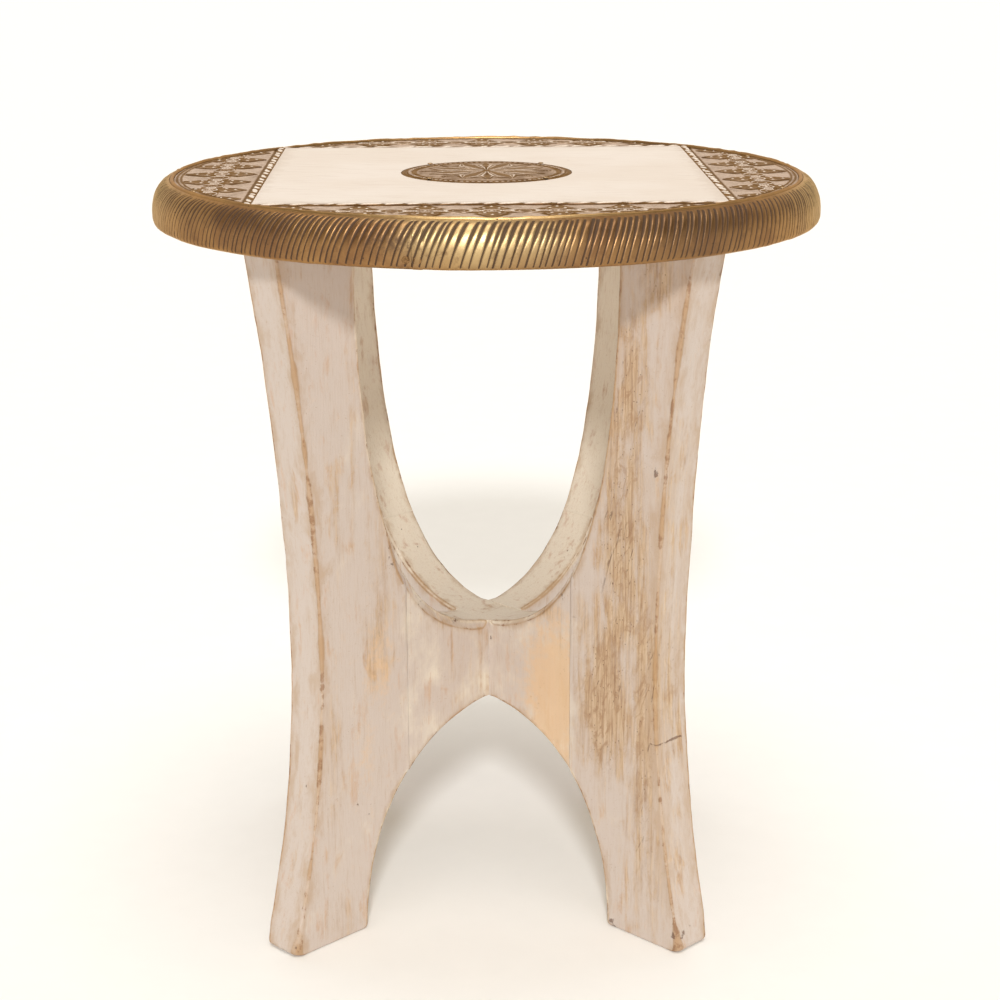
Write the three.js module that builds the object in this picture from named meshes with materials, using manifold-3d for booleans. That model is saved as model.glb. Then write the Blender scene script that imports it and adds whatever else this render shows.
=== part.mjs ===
// A round side table: a brass-clad wooden top on a base of two crossed boards.
// Each base board is two curved leg planks edge-glued to a middle block, and the two
// middle blocks are cross-lapped. The top is three glued planks with a whitewashed
// square panel, four embossed brass segments, a centre medallion and a fluted brass
// band round its bullnose edge.
//
// Millimetres, +Z up. The origin is on the floor, under the middle of the tabletop.

import * as THREE from 'three';
import { mergeVertices } from 'three/addons/utils/BufferGeometryUtils.js';
import Module from 'manifold-3d';

const wasm = await Module();
wasm.setup();

// ---------------------------------------------------------------- driving dimensions

const GAP = 0.3; // left between pieces that meet sideways
const SLIM_GAP = 0.15; // round a dowel or a pin in its hole

// Base boards, seen along the board's face: r is the distance from the table's axis.
const BOARD = {
  thickness: 28.5,
  height: 432.5, // floor to the underside of the top
  footOuter: 181,
  footInner: 120.5,
  footCorner: 3, // rounding of the outer corner on the floor
  waist: 153.5, // narrowest outer half-width
  waistHeight: 187,
  headOuter: 180.5,
  headInner: 122,
  webTop: 176, // bottom of the deep U between the legs
  webBottom: 126.5, // crown of the lower arch
  seam: 85, // glue line between a leg plank and the middle block
};
const U_FULLNESS = 0.69; // handle length of the U's curve: an ellipse is 0.55
const ARCH_FULLNESS = 0.61;

// Wooden core of the top, and the brass round its edge
const CORE = { bottom: BOARD.height, top: 457.5, jointOffset: 67.5 };
const BULLNOSE = {
  start: 192, // where the flat top ends
  outer: 203, // widest radius
  widestHeight: 440,
  straightEnd: 436.5,
  lipRadius: 199,
};
const SKIN = 1; // brass sheet thickness
const BAND_STRIPS = 3;
const BAND_SEAM = THREE.MathUtils.degToRad(258.7); // a lap in front, left of centre

// Pieces laid on the core
const TWIST = THREE.MathUtils.degToRad(1); // the square sits a degree off the legs
const PANEL = { half: 132, thickness: 1.5 };
const BORDER = { outer: 137, height: 2 };
const SEGMENT_RADIUS = 189;
const RING = { inner: 189.3, outer: 191.7, height: 2.2 };
const MEDALLION = { radius: 52, edge: 0.9, crown: 1.5 }; // let into the panel, and proud of it

// Dowels and pins
const DOWEL_RADIUS = 4;
const SEAM_DOWEL = { heights: [134, 166], length: 60 };
const HEAD_DOWEL = { radii: [137, 166], bottom: 401, top: 447 };
const BAND_NAIL = {
  headRadius: 2.2,
  headDepth: 0.8,
  shankRadius: 0.9,
  length: 16,
  side: 3.2, // from the seam to the nail
  height: BULLNOSE.widestHeight - 2,
};
const PIN = { headRadius: 1.8, shankRadius: 0.7, length: 11, head: 0.7 };
const SEGMENT_PIN = { radius: 186.3, spread: THREE.MathUtils.degToRad(24) };
const MEDALLION_PIN_RADIUS = 49;

// ---------------------------------------------------------------- materials

const MATERIALS = {
  whitewash: { color: 0xcbbca3, roughness: 0.62, metalness: 0 },
  panelPaint: { color: 0xeadccb, roughness: 0.45, metalness: 0 },
  coreWood: { color: 0x9a7146, roughness: 0.7, metalness: 0 },
  dowelWood: { color: 0xb98d5a, roughness: 0.6, metalness: 0 },
  brass: { color: 0x9a7440, roughness: 0.38, metalness: 1 },
  embossedBrass: { color: 0x8d7455, roughness: 0.5, metalness: 0.8 },
};

// ---------------------------------------------------------------- helpers

function solidOf(geometry) {
  const bare = geometry.clone();
  bare.deleteAttribute('normal');
  bare.deleteAttribute('uv');
  const merged = mergeVertices(bare, 1e-4);
  return new wasm.Manifold(new wasm.Mesh({
    numProp: 3,
    vertProperties: new Float32Array(merged.attributes.position.array),
    triVerts: new Uint32Array(merged.index.array),
  }));
}

function geometryOf(solid) {
  const mesh = solid.getMesh();
  const geometry = new THREE.BufferGeometry();
  geometry.setAttribute('position', new THREE.BufferAttribute(mesh.vertProperties, 3));
  geometry.setIndex(new THREE.BufferAttribute(mesh.triVerts, 1));
  const flat = geometry.toNonIndexed();
  flat.computeVertexNormals();
  return flat;
}

function pieceOf(name, shape, materialName) {
  const geometry = shape.isBufferGeometry ? shape : geometryOf(shape);
  const material = new THREE.MeshStandardMaterial(MATERIALS[materialName]);
  const mesh = new THREE.Mesh(geometry, material);
  mesh.name = name;
  return mesh;
}

// A box given by its low and high corners.
function boxSolid(low, high) {
  const size = high.map((value, i) => value - low[i]);
  const geometry = new THREE.BoxGeometry(...size);
  geometry.translate(...low.map((value, i) => value + size[i] / 2));
  return solidOf(geometry);
}

// A cylinder from one point to another.
function rodGeometry(from, to, radius, sides = 16) {
  const start = new THREE.Vector3(...from);
  const along = new THREE.Vector3(...to).sub(start);
  const geometry = new THREE.CylinderGeometry(radius, radius, along.length(), sides);
  geometry.translate(0, along.length() / 2, 0);
  const up = new THREE.Vector3(0, 1, 0);
  geometry.applyQuaternion(new THREE.Quaternion().setFromUnitVectors(up, along.normalize()));
  geometry.translate(start.x, start.y, start.z);
  return geometry;
}

const rodSolid = (from, to, radius, sides) => solidOf(rodGeometry(from, to, radius, sides));

// Turns a profile of [radius, height] points about the Z axis.
function turned(profile, sides = 96) {
  const points = profile.map(([radius, height]) => new THREE.Vector2(radius, height));
  const geometry = new THREE.LatheGeometry(points, sides);
  geometry.rotateX(Math.PI / 2);
  return geometry;
}

// Extrudes a flat outline in XY from one height to another.
function slab(shape, bottom, top, curveSegments = 24) {
  const options = { depth: top - bottom, bevelEnabled: false, curveSegments };
  const geometry = new THREE.ExtrudeGeometry(shape, options);
  geometry.translate(0, 0, bottom);
  return geometry;
}

const onCircle = (radius, angle) => [radius * Math.cos(angle), radius * Math.sin(angle)];

// ---------------------------------------------------------------- base boards

// The whole outline of one base board: feet, lower arch, waisted sides and deep U.
function boardOutline() {
  const b = BOARD;
  const uDepth = b.height - b.webTop;
  const shape = new THREE.Shape();
  shape.moveTo(b.footInner, 0);
  shape.lineTo(b.footOuter - b.footCorner, 0);
  shape.quadraticCurveTo(b.footOuter, 0, b.footOuter - 1, b.footCorner);
  shape.quadraticCurveTo(b.waist, b.waistHeight / 2, b.waist, b.waistHeight);
  shape.quadraticCurveTo(b.waist, (b.waistHeight + b.height) / 2, b.headOuter, b.height);
  shape.lineTo(b.headInner, b.height);
  shape.bezierCurveTo(
    b.headInner, b.height - U_FULLNESS * uDepth,
    U_FULLNESS * b.headInner, b.webTop,
    0, b.webTop,
  );
  shape.bezierCurveTo(
    -U_FULLNESS * b.headInner, b.webTop,
    -b.headInner, b.height - U_FULLNESS * uDepth,
    -b.headInner, b.height,
  );
  shape.lineTo(-b.headOuter, b.height);
  shape.quadraticCurveTo(-b.waist, (b.waistHeight + b.height) / 2, -b.waist, b.waistHeight);
  shape.quadraticCurveTo(-b.waist, b.waistHeight / 2, 1 - b.footOuter, b.footCorner);
  shape.quadraticCurveTo(-b.footOuter, 0, b.footCorner - b.footOuter, 0);
  shape.lineTo(-b.footInner, 0);
  shape.bezierCurveTo(
    -b.footInner, ARCH_FULLNESS * b.webBottom,
    -ARCH_FULLNESS * b.footInner, b.webBottom,
    0, b.webBottom,
  );
  shape.bezierCurveTo(
    ARCH_FULLNESS * b.footInner, b.webBottom,
    b.footInner, ARCH_FULLNESS * b.webBottom,
    b.footInner, 0,
  );
  return shape;
}

// The board stands in the XZ plane, its thickness centred on Y = 0.
function boardSolid() {
  const geometry = slab(boardOutline(), 0, BOARD.thickness, 20);
  geometry.rotateX(Math.PI / 2);
  geometry.translate(0, BOARD.thickness / 2, 0);
  return solidOf(geometry);
}

function seamDowelEnds(height) {
  const reach = SEAM_DOWEL.length / 2;
  return [[BOARD.seam - reach, 0, height], [BOARD.seam + reach, 0, height]];
}

function legSolid(board) {
  const { footOuter, thickness, height, seam } = BOARD;
  const beyondSeam = boxSolid([seam, -thickness, -1], [footOuter + 1, thickness, height + 1]);
  let leg = board.intersect(beyondSeam);
  for (const dowelHeight of SEAM_DOWEL.heights) {
    const [from, to] = seamDowelEnds(dowelHeight);
    from[0] -= 1;
    to[0] += GAP;
    leg = leg.subtract(rodSolid(from, to, DOWEL_RADIUS + SLIM_GAP));
  }
  for (const radius of HEAD_DOWEL.radii) {
    const hole = rodSolid([radius, 0, HEAD_DOWEL.bottom - GAP], [radius, 0, height + 1],
      DOWEL_RADIUS + SLIM_GAP);
    leg = leg.subtract(hole);
  }
  return leg;
}

// The middle block of a board. One block is notched from above and the other from below.
function webBlockSolid(board, notchedFromAbove) {
  const { seam, thickness, webTop, webBottom, height } = BOARD;
  const lapHeight = (webTop + webBottom) / 2;
  const between = boxSolid([-seam + GAP, -thickness, 0], [seam - GAP, thickness, height]);
  const notchHalf = thickness / 2 + GAP;
  const low = notchedFromAbove ? lapHeight : 0;
  const high = notchedFromAbove ? height : lapHeight;
  const notch = boxSolid([-notchHalf, -thickness, low], [notchHalf, thickness, high]);
  let block = board.intersect(between).subtract(notch);
  for (const dowelHeight of SEAM_DOWEL.heights) {
    const [from, to] = seamDowelEnds(dowelHeight);
    from[0] -= GAP;
    to[0] += 1;
    const hole = rodSolid(from, to, DOWEL_RADIUS + SLIM_GAP);
    block = block.subtract(hole).subtract(hole.rotate([0, 0, 180]));
  }
  return block;
}

const LEGS = [
  { name: 'back_right', angle: 45 },
  { name: 'back_left', angle: 135 },
  { name: 'front_left', angle: 225 },
  { name: 'front_right', angle: 315 },
];

function baseGroup() {
  const base = new THREE.Group();
  const board = boardSolid();
  const leg = geometryOf(legSolid(board));

  for (const { name, angle } of LEGS) {
    const arm = new THREE.Group();
    arm.rotation.z = THREE.MathUtils.degToRad(angle);
    arm.add(pieceOf(`leg_${name}`, leg, 'whitewash'));
    SEAM_DOWEL.heights.forEach((height, i) => {
      const dowel = rodGeometry(...seamDowelEnds(height), DOWEL_RADIUS, 12);
      arm.add(pieceOf(`seam_dowel_${name}_${i + 1}`, dowel, 'dowelWood'));
    });
    HEAD_DOWEL.radii.forEach((radius, i) => {
      const dowel = rodGeometry([radius, 0, HEAD_DOWEL.bottom], [radius, 0, HEAD_DOWEL.top],
        DOWEL_RADIUS, 12);
      arm.add(pieceOf(`head_dowel_${name}_${i + 1}`, dowel, 'dowelWood'));
    });
    base.add(arm);
  }

  const lowerBlock = pieceOf('web_block_lower', webBlockSolid(board, true), 'whitewash');
  lowerBlock.rotation.z = THREE.MathUtils.degToRad(45);
  const upperBlock = pieceOf('web_block_upper', webBlockSolid(board, false), 'whitewash');
  upperBlock.rotation.z = THREE.MathUtils.degToRad(135);
  base.add(lowerBlock, upperBlock);
  return base;
}

// ---------------------------------------------------------------- fastenings of the top

const SIDES = ['right', 'back', 'left', 'front']; // at 0, 90, 180 and 270 degrees

// A small domed pin in the Z axis: its head sits on z = 0 and its shank points down.
function pinGeometry() {
  const tip = 1.2;
  return turned([
    [0, -PIN.length],
    [PIN.shankRadius, -PIN.length + tip],
    [PIN.shankRadius, 0],
    [PIN.headRadius, 0],
    [PIN.headRadius * 0.75, PIN.head * 0.7],
    [0, PIN.head],
  ], 12);
}

// Where the pins stand, in the twisted frame of the panel and the brass segments.
function pinPlaces() {
  const places = [];
  for (let side = 0; side < 4; side += 1) {
    for (const way of [-1, 1]) {
      const angle = side * Math.PI / 2 + way * SEGMENT_PIN.spread;
      const number = way < 0 ? 1 : 2;
      const name = `segment_pin_${SIDES[side]}_${number}`;
      places.push({ name, point: onCircle(SEGMENT_PIN.radius, angle), height: CORE.top + SKIN });
    }
  }
  for (let corner = 0; corner < 4; corner += 1) {
    const angle = (corner + 0.5) * Math.PI / 2;
    places.push({
      name: `medallion_pin_${corner + 1}`,
      point: onCircle(MEDALLION_PIN_RADIUS, angle),
      height: CORE.top + PANEL.thickness + MEDALLION.edge,
    });
  }
  return places;
}

function pinHoles() {
  const holes = pinPlaces().map(({ point, height }) => rodSolid(
    [...point, height - PIN.length - GAP], [...point, height + 3],
    PIN.shankRadius + SLIM_GAP, 12,
  ));
  return wasm.Manifold.union(holes);
}

// A countersunk nail on each side of every seam of the edge band.
function bandNailAngles() {
  const angles = [];
  for (let strip = 0; strip < BAND_STRIPS; strip += 1) {
    const seam = BAND_SEAM + strip * 2 * Math.PI / BAND_STRIPS;
    const step = BAND_NAIL.side / BULLNOSE.outer;
    angles.push(seam - step, seam + step);
  }
  return angles;
}

// The nail lies along X with its flat head out at the band's widest radius.
function bandNailGeometry() {
  const { headRadius, headDepth, shankRadius, length, height } = BAND_NAIL;
  const tip = 2;
  const geometry = turned([
    [0, -length],
    [shankRadius, -length + tip],
    [shankRadius, -headDepth],
    [headRadius, -headDepth],
    [headRadius, -0.1],
    [0, 0],
  ], 12);
  geometry.rotateY(Math.PI / 2);
  geometry.translate(BULLNOSE.outer - SLIM_GAP, 0, height);
  return geometry;
}

function bandNailHoles() {
  const { headRadius, headDepth, shankRadius, length, height } = BAND_NAIL;
  const outer = BULLNOSE.outer;
  const recess = rodSolid([outer - headDepth - GAP, 0, height], [outer + 2, 0, height],
    headRadius + SLIM_GAP, 12);
  const shank = rodSolid([outer - length - 1, 0, height], [outer + 2, 0, height],
    shankRadius + SLIM_GAP, 12);
  const hole = recess.add(shank);
  const holes = bandNailAngles().map((angle) => (
    hole.rotate([0, 0, THREE.MathUtils.radToDeg(angle)])
  ));
  return wasm.Manifold.union(holes);
}

// ---------------------------------------------------------------- tabletop

// The bullnose from the flat top, round the edge and down to the lip, set in by an inset.
function bullnoseProfile(inset, topInset = inset) {
  const b = BULLNOSE;
  const steps = 8;
  const across = b.outer - b.start - inset;
  const up = CORE.top + SKIN - b.widestHeight - topInset;
  const profile = [];
  for (let i = 0; i <= steps; i += 1) {
    const turn = (i / steps) * Math.PI / 2;
    profile.push([b.start + across * Math.sin(turn), b.widestHeight + up * Math.cos(turn)]);
  }
  profile.push([b.outer - inset, b.straightEnd], [b.lipRadius - inset, CORE.bottom]);
  return profile;
}

function corePieces() {
  const profile = [[0, CORE.top], ...bullnoseProfile(SKIN + GAP, SKIN), [0, CORE.bottom]];
  let core = solidOf(turned(profile.reverse()));
  for (const { angle } of LEGS) {
    for (const radius of HEAD_DOWEL.radii) {
      const [x, y] = onCircle(radius, THREE.MathUtils.degToRad(angle));
      const hole = rodSolid([x, y, CORE.bottom - 1], [x, y, HEAD_DOWEL.top + GAP],
        DOWEL_RADIUS + SLIM_GAP);
      core = core.subtract(hole);
    }
  }
  const twistDegrees = THREE.MathUtils.radToDeg(TWIST);
  core = core.subtract(pinHoles().rotate([0, 0, twistDegrees])).subtract(bandNailHoles());

  const edge = BULLNOSE.outer;
  const cuts = [-edge, -CORE.jointOffset, CORE.jointOffset, edge];
  return ['left', 'middle', 'right'].map((name, i) => {
    const share = boxSolid([cuts[i], -edge, CORE.bottom - 1], [cuts[i + 1], edge, CORE.top + 1]);
    return pieceOf(`core_plank_${name}`, core.intersect(share), 'coreWood');
  });
}

function edgeBandPieces() {
  const outside = bullnoseProfile(0);
  const inside = bullnoseProfile(SKIN);
  const profile = [...outside, ...inside.reverse(), outside[0]];
  const band = solidOf(turned(profile.reverse())).subtract(bandNailHoles());

  const pieces = [];
  const share = 2 * Math.PI / BAND_STRIPS;
  const trim = GAP / 2 / BULLNOSE.outer;
  const reach = BULLNOSE.outer * 2.2;
  for (let strip = 0; strip < BAND_STRIPS; strip += 1) {
    const start = BAND_SEAM + strip * share + trim;
    const end = BAND_SEAM + (strip + 1) * share - trim;
    const wedge = new THREE.Shape();
    wedge.moveTo(0, 0);
    wedge.lineTo(...onCircle(reach, start));
    wedge.lineTo(...onCircle(reach, (start + end) / 2));
    wedge.lineTo(...onCircle(reach, end));
    const sector = solidOf(slab(wedge, CORE.bottom - 1, CORE.top + 5));
    pieces.push(pieceOf(`edge_band_${strip + 1}`, band.intersect(sector), 'brass'));
  }
  return pieces;
}

function ringPiece() {
  const middle = (RING.inner + RING.outer) / 2;
  const bottom = CORE.top;
  const profile = [
    [RING.inner, bottom],
    [RING.outer, bottom],
    [RING.outer, bottom + RING.height * 0.55],
    [middle, bottom + RING.height],
    [RING.inner, bottom + RING.height * 0.55],
    [RING.inner, bottom],
  ];
  return pieceOf('rim_bead_ring', turned(profile), 'brass');
}

// The piece of brass between one edge of the square and the ring, for the right-hand side.
function segmentOutline() {
  const chord = BORDER.outer + GAP;
  const halfAngle = Math.acos(chord / SEGMENT_RADIUS);
  const shape = new THREE.Shape();
  shape.absarc(0, 0, SEGMENT_RADIUS, -halfAngle, halfAngle, false);
  shape.closePath();
  return shape;
}

function borderStripSolid(runsThrough) {
  const { outer, height } = BORDER;
  const inner = PANEL.half + GAP;
  const halfLength = runsThrough ? SEGMENT_RADIUS : PANEL.half;
  const strip = boxSolid([inner, -halfLength, CORE.top], [outer, halfLength, CORE.top + height]);
  const disc = solidOf(turned([
    [0, CORE.top - 1],
    [SEGMENT_RADIUS, CORE.top - 1],
    [SEGMENT_RADIUS, CORE.top + height + 1],
    [0, CORE.top + height + 1],
  ]));
  return strip.intersect(disc);
}

// Pieces of the square and round it, in one frame that is turned as a whole.
function deckGroup() {
  const deck = new THREE.Group();
  deck.rotation.z = TWIST;
  const twistedHoles = pinHoles();

  const top = CORE.top + PANEL.thickness;
  const panel = boxSolid([-PANEL.half, -PANEL.half, CORE.top], [PANEL.half, PANEL.half, top]);
  const recess = rodSolid([0, 0, CORE.top - 1], [0, 0, top + 1], MEDALLION.radius + GAP, 64);
  deck.add(pieceOf('white_panel', panel.subtract(recess), 'panelPaint'));

  const segment = solidOf(slab(segmentOutline(), CORE.top, CORE.top + SKIN));
  SIDES.forEach((side, i) => {
    const turn = i * 90;
    const sheet = segment.rotate([0, 0, turn]).subtract(twistedHoles);
    deck.add(pieceOf(`brass_segment_${side}`, sheet, 'embossedBrass'));
    const runsThrough = side === 'front' || side === 'back';
    const strip = borderStripSolid(runsThrough).rotate([0, 0, turn]);
    deck.add(pieceOf(`border_strip_${side}`, strip, 'embossedBrass'));
  });

  const medallion = solidOf(turned([
    [0, CORE.top],
    [MEDALLION.radius, CORE.top],
    [MEDALLION.radius, top + MEDALLION.edge * 0.6],
    [MEDALLION.radius - 1, top + MEDALLION.edge],
    [MEDALLION.radius * 0.87, top + MEDALLION.edge],
    [MEDALLION.radius * 0.8, top + MEDALLION.crown],
    [0, top + MEDALLION.crown],
  ], 64));
  deck.add(pieceOf('centre_medallion', medallion.subtract(twistedHoles), 'embossedBrass'));

  for (const { name, point, height } of pinPlaces()) {
    const pin = pieceOf(name, pinGeometry(), 'brass');
    pin.position.set(...point, height);
    deck.add(pin);
  }
  return deck;
}

function bandNails() {
  return bandNailAngles().map((angle, i) => {
    const nail = pieceOf(`band_nail_${i + 1}`, bandNailGeometry(), 'brass');
    nail.rotation.z = angle;
    return nail;
  });
}

// ---------------------------------------------------------------- the whole table

const table = new THREE.Group();
table.add(baseGroup());
table.add(...corePieces(), ...edgeBandPieces(), ringPiece(), ...bandNails());
table.add(deckGroup());

export default table;
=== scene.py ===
"""A round side table: a brass-clad top on a base of two crossed, whitewashed boards.

The CAD pieces are plain. This script gives every visible surface its relief and its
finish: chased flutes round the edge band, embossing on the brass sheets, and worn
whitewash on the boards. Sizes are in millimetres and the meshes are in metres.
"""

import itertools
import math

import bpy
import numpy as np
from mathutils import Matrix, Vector


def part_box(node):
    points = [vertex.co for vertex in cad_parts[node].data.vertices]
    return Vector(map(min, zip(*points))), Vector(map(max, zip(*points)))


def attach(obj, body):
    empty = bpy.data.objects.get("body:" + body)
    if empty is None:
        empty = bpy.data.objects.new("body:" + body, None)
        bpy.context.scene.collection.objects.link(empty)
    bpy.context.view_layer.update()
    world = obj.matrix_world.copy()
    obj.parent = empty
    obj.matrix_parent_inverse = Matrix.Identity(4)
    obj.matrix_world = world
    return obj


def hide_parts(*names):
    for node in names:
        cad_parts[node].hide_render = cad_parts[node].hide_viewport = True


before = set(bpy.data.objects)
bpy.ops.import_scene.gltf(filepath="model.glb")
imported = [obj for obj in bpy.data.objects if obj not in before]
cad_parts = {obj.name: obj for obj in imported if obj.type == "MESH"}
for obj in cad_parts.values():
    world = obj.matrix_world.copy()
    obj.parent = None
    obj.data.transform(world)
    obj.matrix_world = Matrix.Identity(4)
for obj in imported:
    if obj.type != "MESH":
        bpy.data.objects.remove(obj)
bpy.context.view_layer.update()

MM = 0.001

# -------- sizes, from the CAD

# Across a board, distances are from the table's axis. FOOT, WAIST and HEAD are its outline's.
HALF_BOARD = 14.25
BOARD_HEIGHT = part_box("leg_front_left")[1].z / MM
FOOT_OUTER = 181.0
FOOT_INNER = 120.5
FOOT_CORNER = 3.0
WAIST = 153.5
WAIST_HEIGHT = 187.0
HEAD_OUTER = 180.5
HEAD_INNER = 122.0
WEB_TOP = 176.0
WEB_BOTTOM = 126.5
SEAM = 85.0
LAP_HEIGHT = (WEB_TOP + WEB_BOTTOM) / 2
U_FULLNESS = 0.69
ARCH_FULLNESS = 0.61
GAP = 0.3

CORE_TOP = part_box("core_plank_middle")[1].z / MM
RIM_RADIUS = 203.0
SHOULDER_RADIUS = 192.0
WIDEST_HEIGHT = 440.0
STRAIGHT_END = 436.5
LIP_RADIUS = 199.0
BAND_SEAM = math.radians(258.7)
BAND_STRIPS = 3

TWIST = math.radians(1)
SHEET_TOP = CORE_TOP + 1.0
CHORD = 137.3
SEGMENT_RADIUS = 189.0
STRIP_INNER = 132.3
STRIP_OUTER = 137.0
STRIP_TOP = CORE_TOP + 2.0
MEDALLION_RADIUS = 52.0
MEDALLION_TOP = CORE_TOP + 2.4
RING_INNER = 189.3
RING_OUTER = 191.7
RING_HEIGHT = 2.2
RING_FOOT = 0.7  # the bead's sides rise straight up to here

SIDES = {"right": 0, "back": 90, "left": 180, "front": 270}
LEG_ANGLES = {"back_right": 45, "back_left": 135, "front_left": 225, "front_right": 315}


# -------- noise and mesh tools

LATTICE = 32  # the noise repeats after this many cells
SHARP_ANGLE = math.radians(50)


def noise(points, cell, seed):
    """Smooth noise in -1..1. A lump is about one cell wide, in the points' own unit."""
    table = np.random.default_rng(seed).uniform(-1, 1, (LATTICE, LATTICE, LATTICE))
    scaled = points / cell
    corner = np.floor(scaled).astype(int)
    part = scaled - corner
    part = part * part * (3 - 2 * part)
    total = np.zeros(points.shape[:-1])
    for step in itertools.product((0, 1), repeat=3):
        weight = np.prod(np.where(step, part, 1 - part), axis=-1)
        index = (corner + step) % LATTICE
        total += weight * table[index[..., 0], index[..., 1], index[..., 2]]
    return total


def smooth_step(value, low, high):
    part = np.clip((value - low) / (high - low), 0, 1)
    return part * part * (3 - 2 * part)


def dome(q):
    """1 in the middle of a raised shape (q = 0), falling to 0 at its outline (q = 1)."""
    return np.sqrt(np.clip(1 - q * q, 0, 1))


def ridge(distance, width):
    return np.exp(-((distance / width) ** 2))


def turned_about_z(points, angle):
    c, s = math.cos(angle), math.sin(angle)
    x, y = points[..., 0], points[..., 1]
    return np.stack([c * x - s * y, s * x + c * y, points[..., 2]], axis=-1)


def grid_normals(points):
    """Unit normals of a grid of points [row, ring], closed round the ring."""
    along = np.gradient(points, axis=0)
    round_ring = np.roll(points, -1, axis=1) - np.roll(points, 1, axis=1)
    normals = np.cross(round_ring, along)
    length = np.linalg.norm(normals, axis=-1, keepdims=True)
    return normals / np.maximum(length, 1e-9)


def polar(radius, angle, height):
    """Points [row, ring, xyz] round the Z axis, one row for each angle."""
    across = radius * np.cos(angle)[:, None]
    return np.stack([across, radius * np.sin(angle)[:, None], height], -1)


def widened(field, count, value=0.0):
    """The field [row, ring], with count more points of one value on each ring."""
    return np.concatenate([field, np.full((len(field), count), value)], 1)


def ring_mesh(name, points, attributes, closed_rows=False):
    """A mesh from rings of points [row, ring, xyz] in mm, each ring closed on itself."""
    rows, count = points.shape[:2]
    index = np.arange(rows * count).reshape(rows, count)
    following = np.roll(index, -1, axis=0) if closed_rows else index[1:]
    start = index if closed_rows else index[:-1]
    quads = np.stack([start, np.roll(start, -1, 1), np.roll(following, -1, 1), following], -1)
    faces = quads.reshape(-1, 4).tolist()
    if not closed_rows:
        faces.append(index[0][::-1].tolist())
        faces.append(index[-1].tolist())
    mesh = bpy.data.meshes.new(name)
    mesh.from_pydata((points.reshape(-1, 3) * MM).tolist(), [], faces)
    for key, values in attributes.items():
        kind = "FLOAT_VECTOR" if values.ndim == 3 else "FLOAT"
        layer = mesh.attributes.new(key, kind, "POINT")
        field = "vector" if values.ndim == 3 else "value"
        layer.data.foreach_set(field, values.astype(np.float32).ravel())
    mesh.validate()
    mesh.shade_smooth()
    mesh.set_sharp_from_angle(angle=SHARP_ANGLE)
    return mesh


def put(mesh, node, material):
    """Shows the mesh in place of a CAD node."""
    piece = bpy.data.objects.new(f"{node}_look", mesh)
    bpy.context.scene.collection.objects.link(piece)
    mesh.materials.append(material)
    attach(piece, "root")
    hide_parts(node)


# -------- shader tools


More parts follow.
